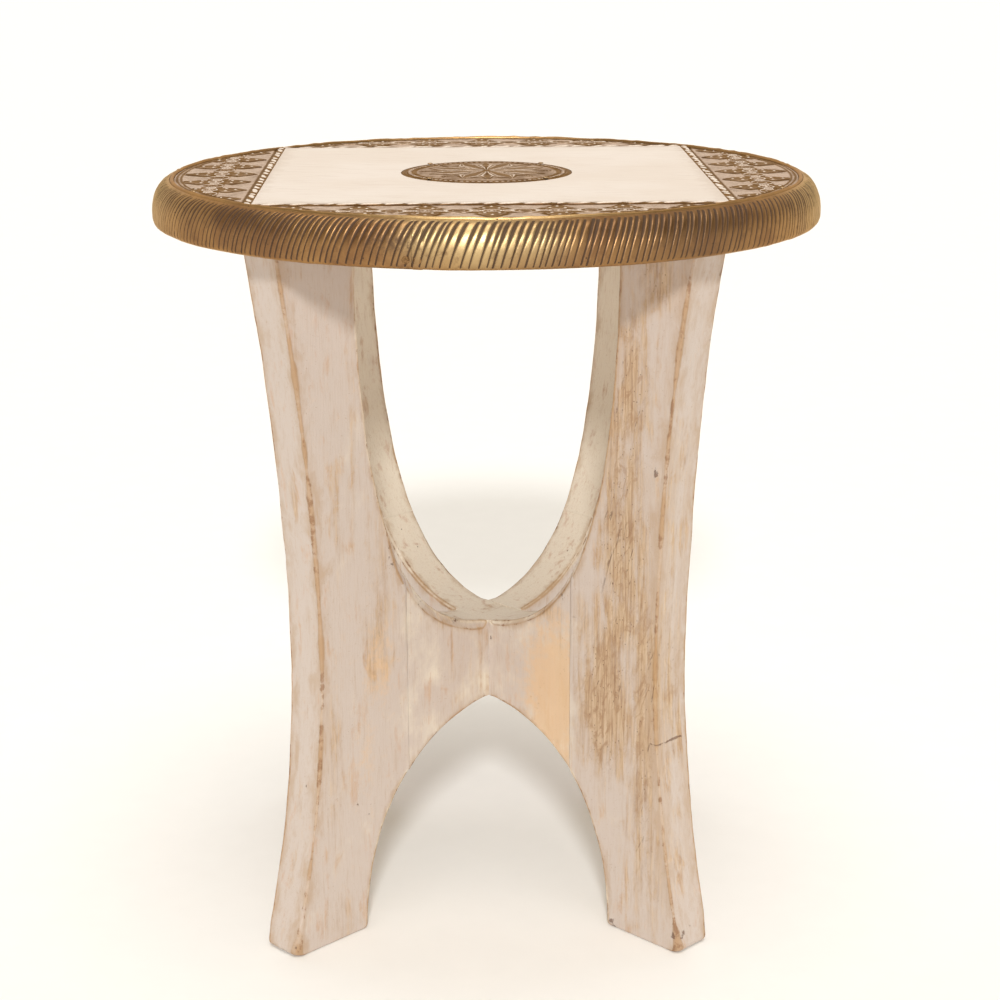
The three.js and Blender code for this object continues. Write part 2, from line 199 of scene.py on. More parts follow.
class Nodes:
    """Short names for the nodes that the materials and the studio's light share."""

    def __init__(self, tree):
        self.tree = tree

    def node(self, kind, inputs, **settings):
        node = self.tree.nodes.new(kind)
        for key, value in settings.items():
            setattr(node, key, value)
        for key, value in inputs.items():
            self.feed(node.inputs[key], value)
        return node

    def feed(self, socket, value):
        if isinstance(value, bpy.types.NodeSocket):
            self.tree.links.new(value, socket)
        else:
            socket.default_value = value

    def attribute(self, name, output="Fac"):
        return self.node("ShaderNodeAttribute", {}, attribute_name=name).outputs[output]

    def place(self):
        """Object coordinates, in centimetres."""
        coordinates = self.node("ShaderNodeTexCoord", {}).outputs["Object"]
        return self.stretch(coordinates, (100, 100, 100))

    def stretch(self, vector, factors):
        inputs = {0: vector, 1: factors}
        return self.node("ShaderNodeVectorMath", inputs, operation="MULTIPLY").outputs[0]

    def turn(self, vector, angles):
        inputs = {"Vector": vector, "Rotation": angles}
        return self.node("ShaderNodeMapping", inputs).outputs["Vector"]

    def noise(self, vector, scale, detail=4.0, roughness=0.55, distortion=0.0):
        inputs = {"Vector": vector, "Scale": scale, "Detail": detail,
                  "Roughness": roughness, "Distortion": distortion}
        return self.node("ShaderNodeTexNoise", inputs).outputs["Fac"]

    def spots(self, vector, scale, radius, share):
        """Round spots in a share of the cells of a Voronoi pattern."""
        cells = self.node("ShaderNodeTexVoronoi", {"Vector": vector, "Scale": scale})
        near = self.band(cells.outputs["Distance"], radius, radius * 0.55)
        picked = self.node("ShaderNodeSeparateColor", {"Color": cells.outputs["Color"]})
        chosen = self.band(picked.outputs["Red"], 1 - share, 1.001 - share)
        return self.math("MULTIPLY", near, chosen)

    def math(self, operation, a, b=0.5):
        return self.node("ShaderNodeMath", {0: a, 1: b}, operation=operation).outputs[0]

    def greatest(self, *terms):
        total = terms[0]
        for term in terms[1:]:
            total = self.math("MAXIMUM", total, term)
        return total

    def add(self, *terms):
        total = terms[0]
        for term in terms[1:]:
            total = self.math("ADD", total, term)
        return total

    def scaled(self, value, factor, offset=0.0):
        inputs = {0: value, 1: factor, 2: offset}
        return self.node("ShaderNodeMath", inputs, operation="MULTIPLY_ADD").outputs[0]

    def sway(self, noise, reach):
        """The noise times reach, centred on 0."""
        return self.scaled(noise, reach, -reach / 2)

    def band(self, value, low, high):
        """0 where the value is at low, 1 where it is at high, smooth between them."""
        inputs = {"Value": value, "From Min": low, "From Max": high}
        node = self.node("ShaderNodeMapRange", inputs, interpolation_type="SMOOTHSTEP")
        return node.outputs["Result"]

    def mix(self, factor, a, b):
        node = self.node("ShaderNodeMix", {}, data_type="RGBA", clamp_factor=True)
        self.feed(node.inputs[0], factor)
        self.feed(node.inputs[6], a if isinstance(a, bpy.types.NodeSocket) else (*a, 1))
        self.feed(node.inputs[7], b if isinstance(b, bpy.types.NodeSocket) else (*b, 1))
        return node.outputs[2]

    def tint(self, color, mask, share, shade):
        """The colour, taken a share of the way to the shade where the mask is 1."""
        return self.mix(self.scaled(mask, share), color, shade)

    def ramp(self, factor, *stops):
        node = self.node("ShaderNodeValToRGB", {"Fac": factor})
        elements = node.color_ramp.elements
        while len(elements) < len(stops):
            elements.new(0.5)
        for element, (position, color) in zip(elements, stops):
            element.position = position
            element.color = (*color, 1)
        return node.outputs["Color"]

    def bump(self, height, distance, strength=1.0):
        """A bump normal, with the distance in millimetres."""
        inputs = {"Height": height, "Distance": distance * MM, "Strength": strength}
        return self.node("ShaderNodeBump", inputs).outputs["Normal"]


class Shader(Nodes):
    SOCKETS = {"color": "Base Color", "roughness": "Roughness", "metallic": "Metallic",
               "normal": "Normal", "specular": "Specular IOR Level", "edge_tint": "Specular Tint"}

    def __init__(self, name):
        self.material = bpy.data.materials.new(name)
        self.material.use_nodes = True
        super().__init__(self.material.node_tree)

    def finish(self, **sockets):
        surface = self.tree.nodes["Principled BSDF"]
        for key, value in sockets.items():
            self.feed(surface.inputs[self.SOCKETS[key]], value)
        return self.material


# -------- materials

PAINT_GREY = (0.612, 0.518, 0.455)
PAINT_CREAM = (0.800, 0.715, 0.590)
PAINT_PINK = (0.600, 0.400, 0.290)
BARE_PEACH = (0.780, 0.520, 0.310)
WOOD_DARK = (0.260, 0.130, 0.065)
WOOD_TAN = (0.450, 0.275, 0.135)
WOOD_LIGHT = (0.640, 0.470, 0.300)
OCHRE = (0.400, 0.215, 0.080)
SMEAR = (0.340, 0.185, 0.095)
GRIME = (0.150, 0.070, 0.040)


class BoardNoise:
    """The noises of a painted board, most of them drawn out along its upright grain."""

    def __init__(self, s, board):
        self.fibre = s.noise(s.stretch(board, (8.0, 8.0, 0.5)), 2.0, 6, 0.7, 0.3)
        self.grain = s.noise(s.stretch(board, (2.6, 2.6, 0.16)), 2.2, 7, 0.68, 0.5)
        self.streak = s.noise(s.stretch(board, (1.0, 1.0, 0.08)), 2.0, 6, 0.62, 0.5)
        self.cloud = s.noise(board, 0.30, 4, 0.6)
        self.blotch = s.noise(s.stretch(board, (1, 1, 0.5)), 0.9, 6, 0.66, 0.4)
        self.speckle = s.noise(board, 7.0, 5, 0.7)
        self.ragged = s.noise(board, 1.5, 7, 0.68)


def paint_color(s, n):
    """Whitewash between grey and cream, with pink and tan where the brush left it thin."""
    cream = s.add(s.attribute("cream"), s.sway(n.cloud, 2.2), s.sway(n.blotch, 0.8))
    paint = s.mix(s.band(cream, 0.0, 0.9), PAINT_GREY, PAINT_CREAM)
    pink = s.band(s.add(s.scaled(n.blotch, 1.0), s.scaled(n.streak, 0.7)), 0.91, 1.10)
    paint = s.tint(paint, pink, 0.60, PAINT_PINK)
    paint = s.tint(paint, s.band(n.grain, 0.47, 0.30), 0.26, WOOD_TAN)
    paint = s.tint(paint, s.band(n.fibre, 0.48, 0.30), 0.26, WOOD_TAN)
    return s.tint(paint, s.band(n.speckle, 0.56, 0.72), 0.22, WOOD_TAN)


def bared_wood(s, n, color):
    """Bare fresh wood where the peach mask is high."""
    bare = s.add(s.attribute("peach"), s.sway(n.ragged, 1.5), s.sway(n.grain, 0.6))
    fresh = s.mix(s.scaled(n.grain, 0.7), BARE_PEACH, WOOD_LIGHT)
    return s.tint(color, s.band(bare, 0.10, 0.85), 0.85, fresh)


def rubbed_corners(s, n, color):
    """Paint rubbed off along the corners: tan beside them, ochre and dark brown on them.

    Returns the colour and the mask of the worn corners.
    """
    rub = s.add(s.attribute("rub_mm"), s.sway(n.blotch, 20.0), s.sway(n.streak, 6.0))
    color = s.tint(color, s.band(rub, 4.0, -2.0), 0.50, WOOD_TAN)
    edge = s.attribute("edge_mm")
    worn = s.add(edge, s.sway(n.ragged, 2.0), s.sway(n.cloud, 5.0))
    worn = s.band(worn, 0.9, -0.3)
    color = s.tint(color, worn, 0.60, OCHRE)
    dark_line = s.add(edge, s.sway(n.ragged, 7.0), s.sway(n.streak, 5.0))
    return s.tint(color, s.band(dark_line, -0.2, -0.9), 0.70, WOOD_DARK), worn


def dark_marks(s, n, board, leaning, stain_and_shade):
    """Pits, flecks, chips and gouges, as one mask."""
    pits = s.spots(s.stretch(board, (1, 1, 0.6)), 1.0, 0.06, 0.16)
    in_stain_and_shade = s.band(s.add(stain_and_shade, n.ragged), 0.9, 1.25)
    flecks = s.math("MULTIPLY", s.spots(board, 4.6, 0.2, 0.3), in_stain_and_shade)
    gouge = s.noise(s.stretch(leaning, (2.6, 1.2, 0.36)), 1.1, 6, 0.66, 0.8)
    gouges = s.math("MULTIPLY", s.band(gouge, 0.635, 0.69), s.band(stain_and_shade, 0.30, 0.75))
    chipped = s.band(s.add(s.attribute("chip"), s.sway(n.ragged, 2.6)), 0.60, 0.74)
    return s.greatest(pits, flecks, chipped, gouges)


def whitewash_material():
    """Worn whitewash on upright planks, thin where the mask of stains and painted shade is high."""
    s = Shader("whitewash")
    board = s.attribute("board", "Vector")
    # Mask of stains, and of painted shade on the leg heads under the top
    stain_and_shade = s.attribute("stain_and_shade")
    leaning = s.turn(board, (0.0, -0.30, 0.0))
    n = BoardNoise(s, board)

    wood = s.ramp(n.grain, (0.30, WOOD_DARK), (0.46, WOOD_TAN), (0.62, WOOD_LIGHT))
    thin = s.add(s.scaled(stain_and_shade, 1.30), s.sway(n.streak, 1.9), s.sway(n.grain, 0.8),
                 s.sway(n.blotch, 2.0))
    thin = s.band(thin, 0.15, 1.15)
    color = s.tint(paint_color(s, n), thin, 0.80, wood)
    smudge = s.noise(s.stretch(leaning, (1.8, 1.2, 0.7)), 0.9, 9, 0.74, 1.4)
    smears = s.math("MULTIPLY", s.band(smudge, 0.49, 0.63), s.band(stain_and_shade, 0.25, 0.95))
    color = s.tint(color, smears, 0.72, SMEAR)
    color = bared_wood(s, n, color)
    color, worn = rubbed_corners(s, n, color)
    marks = dark_marks(s, n, board, leaning, stain_and_shade)
    color = s.tint(color, marks, 0.70, GRIME)
    scratched = s.turn(board, (0.3, 0.5, 0.9))
    lines = s.band(s.noise(s.stretch(scratched, (9, 0.35, 9)), 1.0, 2, 0.4), 0.69, 0.76)
    color = s.tint(color, lines, 0.32, WOOD_TAN)

    height = s.add(s.scaled(thin, -0.3), s.scaled(worn, -0.4), s.scaled(marks, -1.2),
                   s.scaled(n.grain, 0.6), s.scaled(n.fibre, 0.35), s.scaled(n.speckle, 0.16),
                   s.scaled(lines, -0.35))
    rough = s.add(s.scaled(n.speckle, 0.18, 0.40), s.scaled(thin, 0.10), s.scaled(marks, 0.12))
    return s.finish(color=color, roughness=rough, specular=0.35, normal=s.bump(height, 0.4, 0.8))


PANEL_SHADE = (0.765, 0.655, 0.555)
PANEL_LIGHT = (0.800, 0.700, 0.610)
PANEL_BRUSHED = (0.600, 0.440, 0.330)
PANEL_GRIME = (0.470, 0.330, 0.220)
PANEL_SCRATCH = (0.420, 0.290, 0.200)
PANEL_BORDER = (12.3, 13.4)  # cm from the middle, where grime gathers beside the strips


def panel_material():
    """Smooth pale paint, rubbed down, with faint brush lines and scratches."""
    s = Shader("panel_paint")
    place = s.place()
    brushed = s.noise(s.stretch(place, (0.16, 5.0, 1)), 1.5, 5, 0.62, 0.2)
    cloud = s.noise(place, 0.16, 3)
    speckle = s.noise(place, 7, 4, 0.7)
    color = s.mix(s.band(cloud, 0.35, 0.65), PANEL_SHADE, PANEL_LIGHT)
    color = s.tint(color, s.band(brushed, 0.52, 0.30), 0.30, PANEL_BRUSHED)
    flat = s.node("ShaderNodeSeparateXYZ", {"Vector": place})
    reach = s.greatest(*(s.math("ABSOLUTE", flat.outputs[axis]) for axis in ("X", "Y")))
    border = s.band(s.add(reach, s.sway(s.noise(place, 1.1, 6, 0.7), 3.0)), *PANEL_BORDER)
    color = s.tint(color, border, 0.32, PANEL_GRIME)
    turned = s.turn(place, (0, 0, 0.35))
    lines = s.band(s.noise(s.stretch(turned, (0.3, 11, 1)), 1.0, 2, 0.4), 0.66, 0.72)
    nicks = s.spots(place, 0.35, 0.045, 0.4)
    color = s.tint(color, s.greatest(lines, nicks), 0.45, PANEL_SCRATCH)
    height = s.add(s.scaled(brushed, 0.5), s.scaled(speckle, 0.2), s.scaled(lines, -0.5))
    rough = s.add(s.scaled(speckle, 0.14, 0.36), s.scaled(brushed, 0.10))
    return s.finish(color=color, roughness=rough, normal=s.bump(height, 0.15, 0.6))


def core_material():
    """Bare sawn hardwood on the underside of the top, its grain along the planks."""
    s = Shader("core_wood")
    place = s.place()
    grain = s.noise(s.stretch(place, (3.0, 0.12, 3.0)), 2.6, 6, 0.65, 0.3)
    figure = s.noise(s.stretch(place, (0.8, 0.05, 0.8)), 1.2, 4, 0.6, 1.2)
    color = s.ramp(grain, (0.3, (0.17, 0.085, 0.038)), (0.5, (0.36, 0.21, 0.10)),
                   (0.7, (0.50, 0.33, 0.18)))
    color = s.tint(color, s.band(figure, 0.4, 0.65), 0.45, (0.25, 0.13, 0.06))
    wash = s.band(s.noise(place, 0.5, 5, 0.65), 0.54, 0.66)
    color = s.tint(color, wash, 0.5, PAINT_GREY)
    saw = s.noise(s.stretch(place, (0.2, 6, 1)), 2.0, 2)
    height = s.add(grain, s.scaled(saw, 0.6))
    return s.finish(color=color, roughness=s.scaled(grain, 0.2, 0.55), normal=s.bump(height, 0.4))


def dowel_material():
    s = Shader("dowel_wood")
    grain = s.noise(s.stretch(s.place(), (6, 6, 0.8)), 2.5, 5, 0.6)
    color = s.ramp(grain, (0.35, (0.42, 0.26, 0.12)), (0.65, (0.62, 0.43, 0.24)))
    return s.finish(color=color, roughness=s.scaled(grain, 0.2, 0.5), normal=s.bump(grain, 0.2))


# Specular tints: they keep the metal brown where it is seen at a low angle
SHEET_EDGE_TINT = (0.80, 0.58, 0.38, 1)
BAND_EDGE_TINT = (0.95, 0.76, 0.58, 1)

BAND_BROWN = (0.275, 0.142, 0.062)
BAND_WARM = (0.375, 0.205, 0.082)
# Colour of the painted highlight at the front and the painted reflections at the sides
BAND_HIGHLIGHT = (0.640, 0.470, 0.235)
BAND_TARNISH = (0.190, 0.105, 0.055)
BAND_GLINT = (0.600, 0.420, 0.200)
BAND_LIP = (0.520, 0.320, 0.130)
# Colour of the painted dark reflections
BAND_DARK_REFLECTION = (0.150, 0.088, 0.052)
BAND_BLACK = (0.075, 0.043, 0.028)


def edge_brass_material():
    """Antiqued brass: golden brown on the lands, nearly black in the flutes, with painted highlights
    at the front and sides and painted dark reflections between them.
    """
    s = Shader("edge_brass")
    place = s.place()
    cloud = s.noise(place, 0.35, 4, 0.6)
    tarnish = s.noise(place, 1.8, 6, 0.7)
    fine = s.noise(place, 10, 4, 0.7)
    brass = s.mix(s.band(cloud, 0.40, 0.62), BAND_BROWN, BAND_WARM)
    # Painted highlight, and painted reflection of the pale surround, where the patch mask is high
    brass = s.tint(brass, s.attribute("painted_highlight"), 0.85, BAND_HIGHLIGHT)
    brass = s.tint(brass, s.band(tarnish, 0.50, 0.68), 0.55, BAND_TARNISH)
    brass = s.tint(brass, s.band(fine, 0.58, 0.72), 0.30, BAND_GLINT)
    brass = s.tint(brass, s.attribute("lip"), 0.40, BAND_LIP)
    # Painted dark reflection, darkening the band left and right of the front
    brass = s.tint(brass, s.attribute("dull"), 0.55, BAND_DARK_REFLECTION)
    pits = s.spots(place, 1.7, 0.10, 0.22)
    in_flute = s.band(s.add(s.attribute("groove"), s.sway(fine, 0.3)), 0.25, 0.62)
    blotchy = s.band(s.add(tarnish, s.scaled(fine, 0.5)), 0.68, 0.86)
    sooty = s.math("MULTIPLY", s.attribute("soot"), blotchy)
    dark = s.greatest(in_flute, pits, s.scaled(sooty, 0.9))
    color = s.tint(brass, dark, 0.92, BAND_BLACK)
    rough = s.add(s.scaled(tarnish, 0.24, 0.24), s.scaled(dark, 0.28), s.scaled(fine, 0.08))
    height = s.add(s.scaled(fine, 0.5), s.scaled(tarnish, 0.8), s.scaled(pits, -1.5))
    return s.finish(color=color, roughness=rough, metallic=s.scaled(dark, -0.55, 1.0),
                    edge_tint=BAND_EDGE_TINT, normal=s.bump(height, 0.14, 0.8))


SHEET_BROWN = (0.155, 0.085, 0.040)
SHEET_WARM = (0.270, 0.165, 0.082)
SHEET_CREST = (0.560, 0.430, 0.280)
SHEET_BLACK = (0.085, 0.047, 0.028)
WASH_THIN = (0.550, 0.405, 0.305)
WASH_THICK = (0.940, 0.840, 0.730)


def embossed_brass_material():
    """Antiqued embossed brass with whitewash left in the hollows of the pattern."""
    s = Shader("embossed_brass")
    place = s.place()
    relief = s.attribute("relief")
    wash = s.attribute("wash")
    tarnish = s.noise(place, 1.3, 6, 0.7)
    fine = s.noise(place, 8, 5, 0.7)
    brass = s.mix(s.band(tarnish, 0.40, 0.62), SHEET_BROWN, SHEET_WARM)
    brass = s.mix(s.band(relief, 0.84, 1.05), brass, SHEET_CREST)
    brass = s.tint(brass, s.band(relief, 0.36, 0.12), 0.80, SHEET_BLACK)
    left = s.add(wash, s.sway(tarnish, 0.6), s.sway(fine, 0.4))
    left = s.band(left, 0.28, 0.72)
    thick = s.band(s.add(wash, s.sway(fine, 0.8)), 0.6, 1.0)
    color = s.tint(brass, left, 0.92, s.mix(thick, WASH_THIN, WASH_THICK))
    rough = s.add(s.scaled(tarnish, 0.24, 0.26), s.scaled(left, 0.25))
    height = s.add(s.scaled(fine, 0.6), s.scaled(tarnish, 0.5), s.scaled(left, 0.5))
    return s.finish(color=color, roughness=rough, metallic=s.scaled(left, -0.95, 0.95),
                    edge_tint=SHEET_EDGE_TINT, normal=s.bump(height, 0.12, 0.8))


def pin_material(name, dark, light):
    s = Shader(name)
    tarnish = s.noise(s.place(), 6, 5, 0.65)
    color = s.mix(s.band(tarnish, 0.4, 0.6), dark, light)
    return s.finish(color=color, roughness=s.scaled(tarnish, 0.3, 0.25), metallic=1.0,
                    edge_tint=SHEET_EDGE_TINT, normal=s.bump(tarnish, 0.1))


# -------- base boards

BEND_POINTS = 400
TOE_TOP = FOOT_OUTER - 1.0  # half width at the top of the toe's rounding


def bezier(points):
    t = np.linspace(0, 1, BEND_POINTS)[:, None]
    a, b, c, d = (np.array(p, float) for p in points)
    return a * (1 - t) ** 3 + 3 * b * t * (1 - t) ** 2 + 3 * c * t * t * (1 - t) + d * t ** 3


U_CURVE = bezier([
    (0, WEB_TOP),
    (U_FULLNESS * HEAD_INNER, WEB_TOP),
    (HEAD_INNER, BOARD_HEIGHT - U_FULLNESS * (BOARD_HEIGHT - WEB_TOP)),
    (HEAD_INNER, BOARD_HEIGHT),
])
ARCH_CURVE = bezier([
    (0, WEB_BOTTOM),
    (ARCH_FULLNESS * FOOT_INNER, WEB_BOTTOM),
    (FOOT_INNER, ARCH_FULLNESS * WEB_BOTTOM),
    (FOOT_INNER, 0),
])


def u_half_width(z):
    return np.interp(z, U_CURVE[:, 1], U_CURVE[:, 0])


def inner_edge(z):
    """The leg's inner outline: lower arch, then the glue line, then the U."""
    arch = np.interp(z, ARCH_CURVE[::-1, 1], ARCH_CURVE[::-1, 0])
    curves = np.maximum(arch * (z < WEB_BOTTOM), u_half_width(z) * (z > WEB_TOP))
    return np.maximum(curves, SEAM + GAP / 2)


def outer_edge(z):
    """The leg's outer outline: a small toe, then two parabolas that meet at the waist."""
    fall = (WAIST_HEIGHT - z) / (WAIST_HEIGHT - FOOT_CORNER)
    rise = (z - WAIST_HEIGHT) / (BOARD_HEIGHT - WAIST_HEIGHT)
    lower = WAIST + (TOE_TOP - WAIST) * fall ** 2
    upper = WAIST + (HEAD_OUTER - WAIST) * rise ** 2
    t = np.sqrt(np.clip(z / FOOT_CORNER, 0, 1))
    toe = (1 - t) ** 2 * (FOOT_OUTER - FOOT_CORNER) + 2 * t * (1 - t) * FOOT_OUTER + t * t * TOE_TOP
    return np.where(z < FOOT_CORNER, toe, np.where(z < WAIST_HEIGHT, lower, upper))


HEEL_RADIUS = 3.5
TOE_RADIUS = 5.0
SOLE_ROUNDING = 1.6
SEAM_ROUNDING = 0.08
CORNER_POINTS = 7
FACE_POINTS = 26
EDGE_POINTS = 9


def corner_run(end, way, side, cut, flat):
    """A corner's points (across, thickness, distance to the corner's border), [row, point].

    way is 1 at the section's high end and -1 at its low end. A cut is (along, depth) of the
    rounding, one value for each row and side, and flat is 0 for round, 1 for a chamfer.
    """
    turn = np.linspace(0, math.pi / 2, CORNER_POINTS)
    part = turn / turn[-1]
    bend = flat[:, side, None]
    along, depth = cut[0][:, side, None], cut[1][:, side, None]
    cos = (1 - bend) * np.cos(turn) + bend * (1 - part)
    sin = (1 - bend) * np.sin(turn) + bend * part
    across = end[:, None] + way * along * (cos - 1)
    thick = (1, -1)[side] * (HALF_BOARD - depth * (1 - sin))
    edge = bend * np.minimum(part, 1 - part) * np.hypot(along, depth)
    return np.stack([across, thick, edge], -1)


def side_run(start, end, count):
    """The points between two corners, with their distance to the nearer one."""
    share = np.linspace(0, 1, count + 2)[1:-1][None, :, None]
    run = start[:, None] * (1 - share) + end[:, None] * share
    length = np.linalg.norm((end - start)[:, :2], axis=-1)[:, None]
    run[..., 2] = np.minimum(share, 1 - share)[..., 0] * length
    return run


def rounded_section(low, high, low_cut, high_cut, flat):
    """Rings round a rectangular section, as (across, thickness, distance to a corner).

    low and high are the section's two ends. Only the low end's corners can be chamfers.
    """
    always_round = np.zeros_like(flat)
    corners = [
        corner_run(high, 1, 0, high_cut, always_round),
        corner_run(low, -1, 0, low_cut, flat)[:, ::-1],
        corner_run(low, -1, 1, low_cut, flat),
        corner_run(high, 1, 1, high_cut, always_round)[:, ::-1],
    ]
    parts = []
    for i, count in enumerate([FACE_POINTS, EDGE_POINTS, FACE_POINTS, EDGE_POINTS]):
        parts.append(corners[i])
        parts.append(side_run(corners[i][:, -1], corners[(i + 1) % 4][:, 0], count))
    return np.concatenate(parts, axis=1)


STEEPEST = 3.0


def slope_factor(values, positions):
    """How much longer a cut along one axis is than square to the curve."""
    return np.clip(np.sqrt(1 + np.gradient(values, positions) ** 2), 1, STEEPEST)


WEAR_SPREAD = 0.5
WEAR_LIMITS = (0.35, 2.4)


def wear_radius(positions, seed, base=1.1):
    """Corner rounding that wanders between nearly sharp and well worn, [row, side]."""
    sides = []
    for side in (0, 1):
        line = np.stack([positions, np.full_like(positions, side * 40.0), positions * 0], -1)
        wander = noise(line, 22, seed) + 0.5 * noise(line, 7, seed + 1)
        sides.append(base + WEAR_SPREAD * wander)
    return np.clip(np.stack(sides, 1), *WEAR_LIMITS)


# Hand-cut chamfer along the bottom of the U, strongest on the left board's front face.
CHAMFER_WIDTH = {"front_left": (4.2, 0.2), "front_right": (0.2, 1.4),
                 "back_left": (0.2, 0.2), "back_right": (0.2, 0.2)}
CHAMFER_DEPTH = 0.55
CHAMFER_TOP = 262.0
CHAMFER_FLATNESS = 0.9


def chamfer_share(height):
    return 1 - smooth_step(height, CHAMFER_TOP - 50, CHAMFER_TOP)


# Soft patches on the boards, stains and painted shade. For a piece and its face (1 or -1 side),
# each patch is (across, height, half width, half height, strength).
STAINS_AND_SHADE = {
    ("leg_front_right", -1): [
        (128, 250, 22, 110, 0.85), (114, 148, 26, 54, 1.00), (146, 150, 14, 120, 0.80),
        # The patch at height 412 darkens the head of the leg under the top.
        (134, 350, 16, 60, 0.80), (160, 230, 10, 150, 0.42), (150, 412, 26, 24, 0.62),
        (122, 290, 4, 80, 0.85), (150, 60, 20, 70, 0.55), (100, 190, 16, 30, 0.50),
    ],
    ("leg_front_left", 1): [
        (140, 270, 8, 60, 0.36), (146, 120, 9, 70, 0.42), (112, 190, 12, 50, 0.30),
        # The patch at height 428 is painted shade: it darkens the head of the leg under the top.
        (126, 320, 6, 90, 0.32), (146, 428, 60, 20, 0.32),
    ],
    ("web_block_upper", 1): [(-80, 150, 8, 60, 0.45), (-60, 196, 26, 8, 0.60)],
    ("web_block_lower", -1): [(-50, 186, 26, 6, 0.45)],
}
PEACH = {
    ("web_block_upper", 1): [(-72, 140, 26, 50, 1.10)],
    ("leg_front_left", 1): [(108, 172, 13, 26, 0.50), (120, 120, 8, 30, 0.35)],
}
CHIPS = {
    ("leg_front_left", 1): [(97, 232, 5, 9, 0.70), (128, 95, 7, 14, 0.60)],
    ("web_block_lower", -1): [(-66, 203, 14, 5, 0.74), (-40, 183, 14, 4, 0.70)],
    ("web_block_upper", 1): [
        (-26, 177, 12, 2, 0.58), (-78, 207, 8, 8, 0.78), (-16, 165, 2, 12, 0.72),
    ],
    ("leg_front_right", -1): [
        (90, 196, 6, 10, 0.72), (152, 300, 3, 9, 0.90), (124, 3, 8, 6, 0.80),
        (118, 190, 10, 26, 0.58), (156, 131, 9, 1.5, 1.00), (172, 12, 6, 5, 0.72),
    ],
}
FACE_LIMIT = -0.6 * HALF_BOARD  # a face's patches also cover its edges, down to here
SCATTER = 0.45


def patch_mask(name, patches, place, local, scatter, seed):
    """The listed soft patches of a piece, and weaker ones scattered over every piece."""
    across, thick, height = local
    mask = np.zeros(across.shape)
    for (piece, side), spots in patches.items():
        if piece != name:
            continue
        for at, up, half_at, half_up, strength in spots:
            q = ((across - at) / half_at) ** 2 + ((height - up) / half_up) ** 2
            mask = np.maximum(mask, strength * np.exp(-q) * (thick * side > FACE_LIMIT))
    wander = smooth_step(noise(place * (1, 3, 0.35), 34, seed), 0.25, 0.95)
    return np.maximum(mask, scatter * wander)


def board_attributes(name, place, local, edge, cream):
    """What the whitewash shader reads. place runs on, from a leg to the block it is glued to."""
    return {
        "board": place / 10,
        "edge_mm": edge,
        "rub_mm": edge,
        "cream": cream,
        # Stains, and painted shade on the leg heads under the top
        "stain_and_shade": patch_mask(name, STAINS_AND_SHADE, place, local, SCATTER, 50),
        "peach": patch_mask(name, PEACH, place, local, 0.0, 60),
        "chip": patch_mask(name, CHIPS, place, local, SCATTER, 70) - 0.15,
    }


def carved(points, seed, still):
    """Moves a surface in and out a little, as hand planing leaves it."""
    wave = 0.30 * noise(points, 38, seed) + 0.12 * noise(points, 13, seed + 1)
    return points + grid_normals(points) * ((wave - 0.05) * (1 - still))[..., None]


# How far each hand-cut leg strays from the pattern: (height, outward shift) pairs
STRAIGHT = [(0, 0), (433, 0)]
OUTER_STRAY = {
    "front_left": [(0, 1.0), (60, 0.8), (190, 0.8), (260, 2.0), (340, 2.2), (400, 1.5), (433, 0)],
    "front_right": [(0, -3.0), (45, -1.5), (90, 0), (250, 1.2), (350, -0.5), (433, -2.5)],
    "back_left": STRAIGHT,
    "back_right": STRAIGHT,
}
INNER_STRAY = {
    "front_left": [(0, 1.0), (60, 1.0), (110, 0), (433, 0)],
    "front_right": [(0, -2.6), (60, -2.4), (110, 0), (433, 0)],
    "back_left": STRAIGHT,
    "back_right": [(0, 0), (230, 0), (290, -2.4), (433, -2.4)],
}


def stray(table, where, height):
    heights, shifts = zip(*table[where])
    return np.interp(height, heights, shifts)


def rounded_foot(z, radius):
    """How far a worn lower corner of this radius stands back at each height."""
    return radius * (1 - np.sqrt(1 - np.clip(1 - z / radius, 0, 1) ** 2))


LEG_SEEDS = {"back_right": 3, "back_left": 4, "front_left": 5, "front_right": 6}
PAINT_STEP = 400.0  # from one leg's whitewash pattern to the next
CREAM_BASE = -0.2
CREAM_DEPTH = 2.5  # the creamy paint of an inner edge ends this far inside the face
WEB_PALENESS = 0.42  # extra cream round the middle of the base
SHELTERED = 30.0  # added to a corner's distance where the paint isn't rubbed off

# How much wider than usual the paint is rubbed off along a leg's outer corners
CORNER_SPREAD = {"front_left": 2.2, "front_right": 2.6, "back_left": 1.2, "back_right": 1.5}

TOE_LEVELS = [0, 0.12, 0.35, 0.7, 1.1, 1.6, 2.2, FOOT_CORNER, 3.8, 4.6]
LEG_LEVELS = np.concatenate([TOE_LEVELS, np.linspace(5.5, BOARD_HEIGHT, 198)])


def inner_cut(where, inner, in_seam, seed):
    """The cut on a leg's inner corners, and how much of it is the hand-cut chamfer.

    In the glue line the cut ends where the block's own rounding begins.
    """
    z = LEG_LEVELS
    widths = np.array(CHAMFER_WIDTH[where])[None, :]
    share = np.repeat((chamfer_share(z) * (z > WEB_TOP))[:, None], 2, axis=1)
    radius = wear_radius(z, seed)
    curve = np.where(z > LAP_HEIGHT, u_half_width(z), inner)
    full = (radius + widths * share) * slope_factor(curve, z)[:, None]
    along = np.clip(curve[:, None] + full - inner[:, None], SEAM_ROUNDING, full)
    along = np.where(in_seam & (z < LAP_HEIGHT)[:, None], SEAM_ROUNDING, along)
    depth = (radius + widths * share * CHAMFER_DEPTH) * along / full
    return (along, np.maximum(depth, SEAM_ROUNDING)), share


def leg_cream(across, inner, outer, in_seam):
    """Creamy paint along the inner edge and towards the middle, less at the outer edge."""
    cream = 1.2 * (1 - smooth_step(across - inner, 0, CREAM_DEPTH)) * ~in_seam + CREAM_BASE
    cream -= 0.5 * smooth_step(across - outer, -CREAM_DEPTH, 0)
    return cream + WEB_PALENESS * (1 - smooth_step(across, SEAM - 10, SEAM + 30))


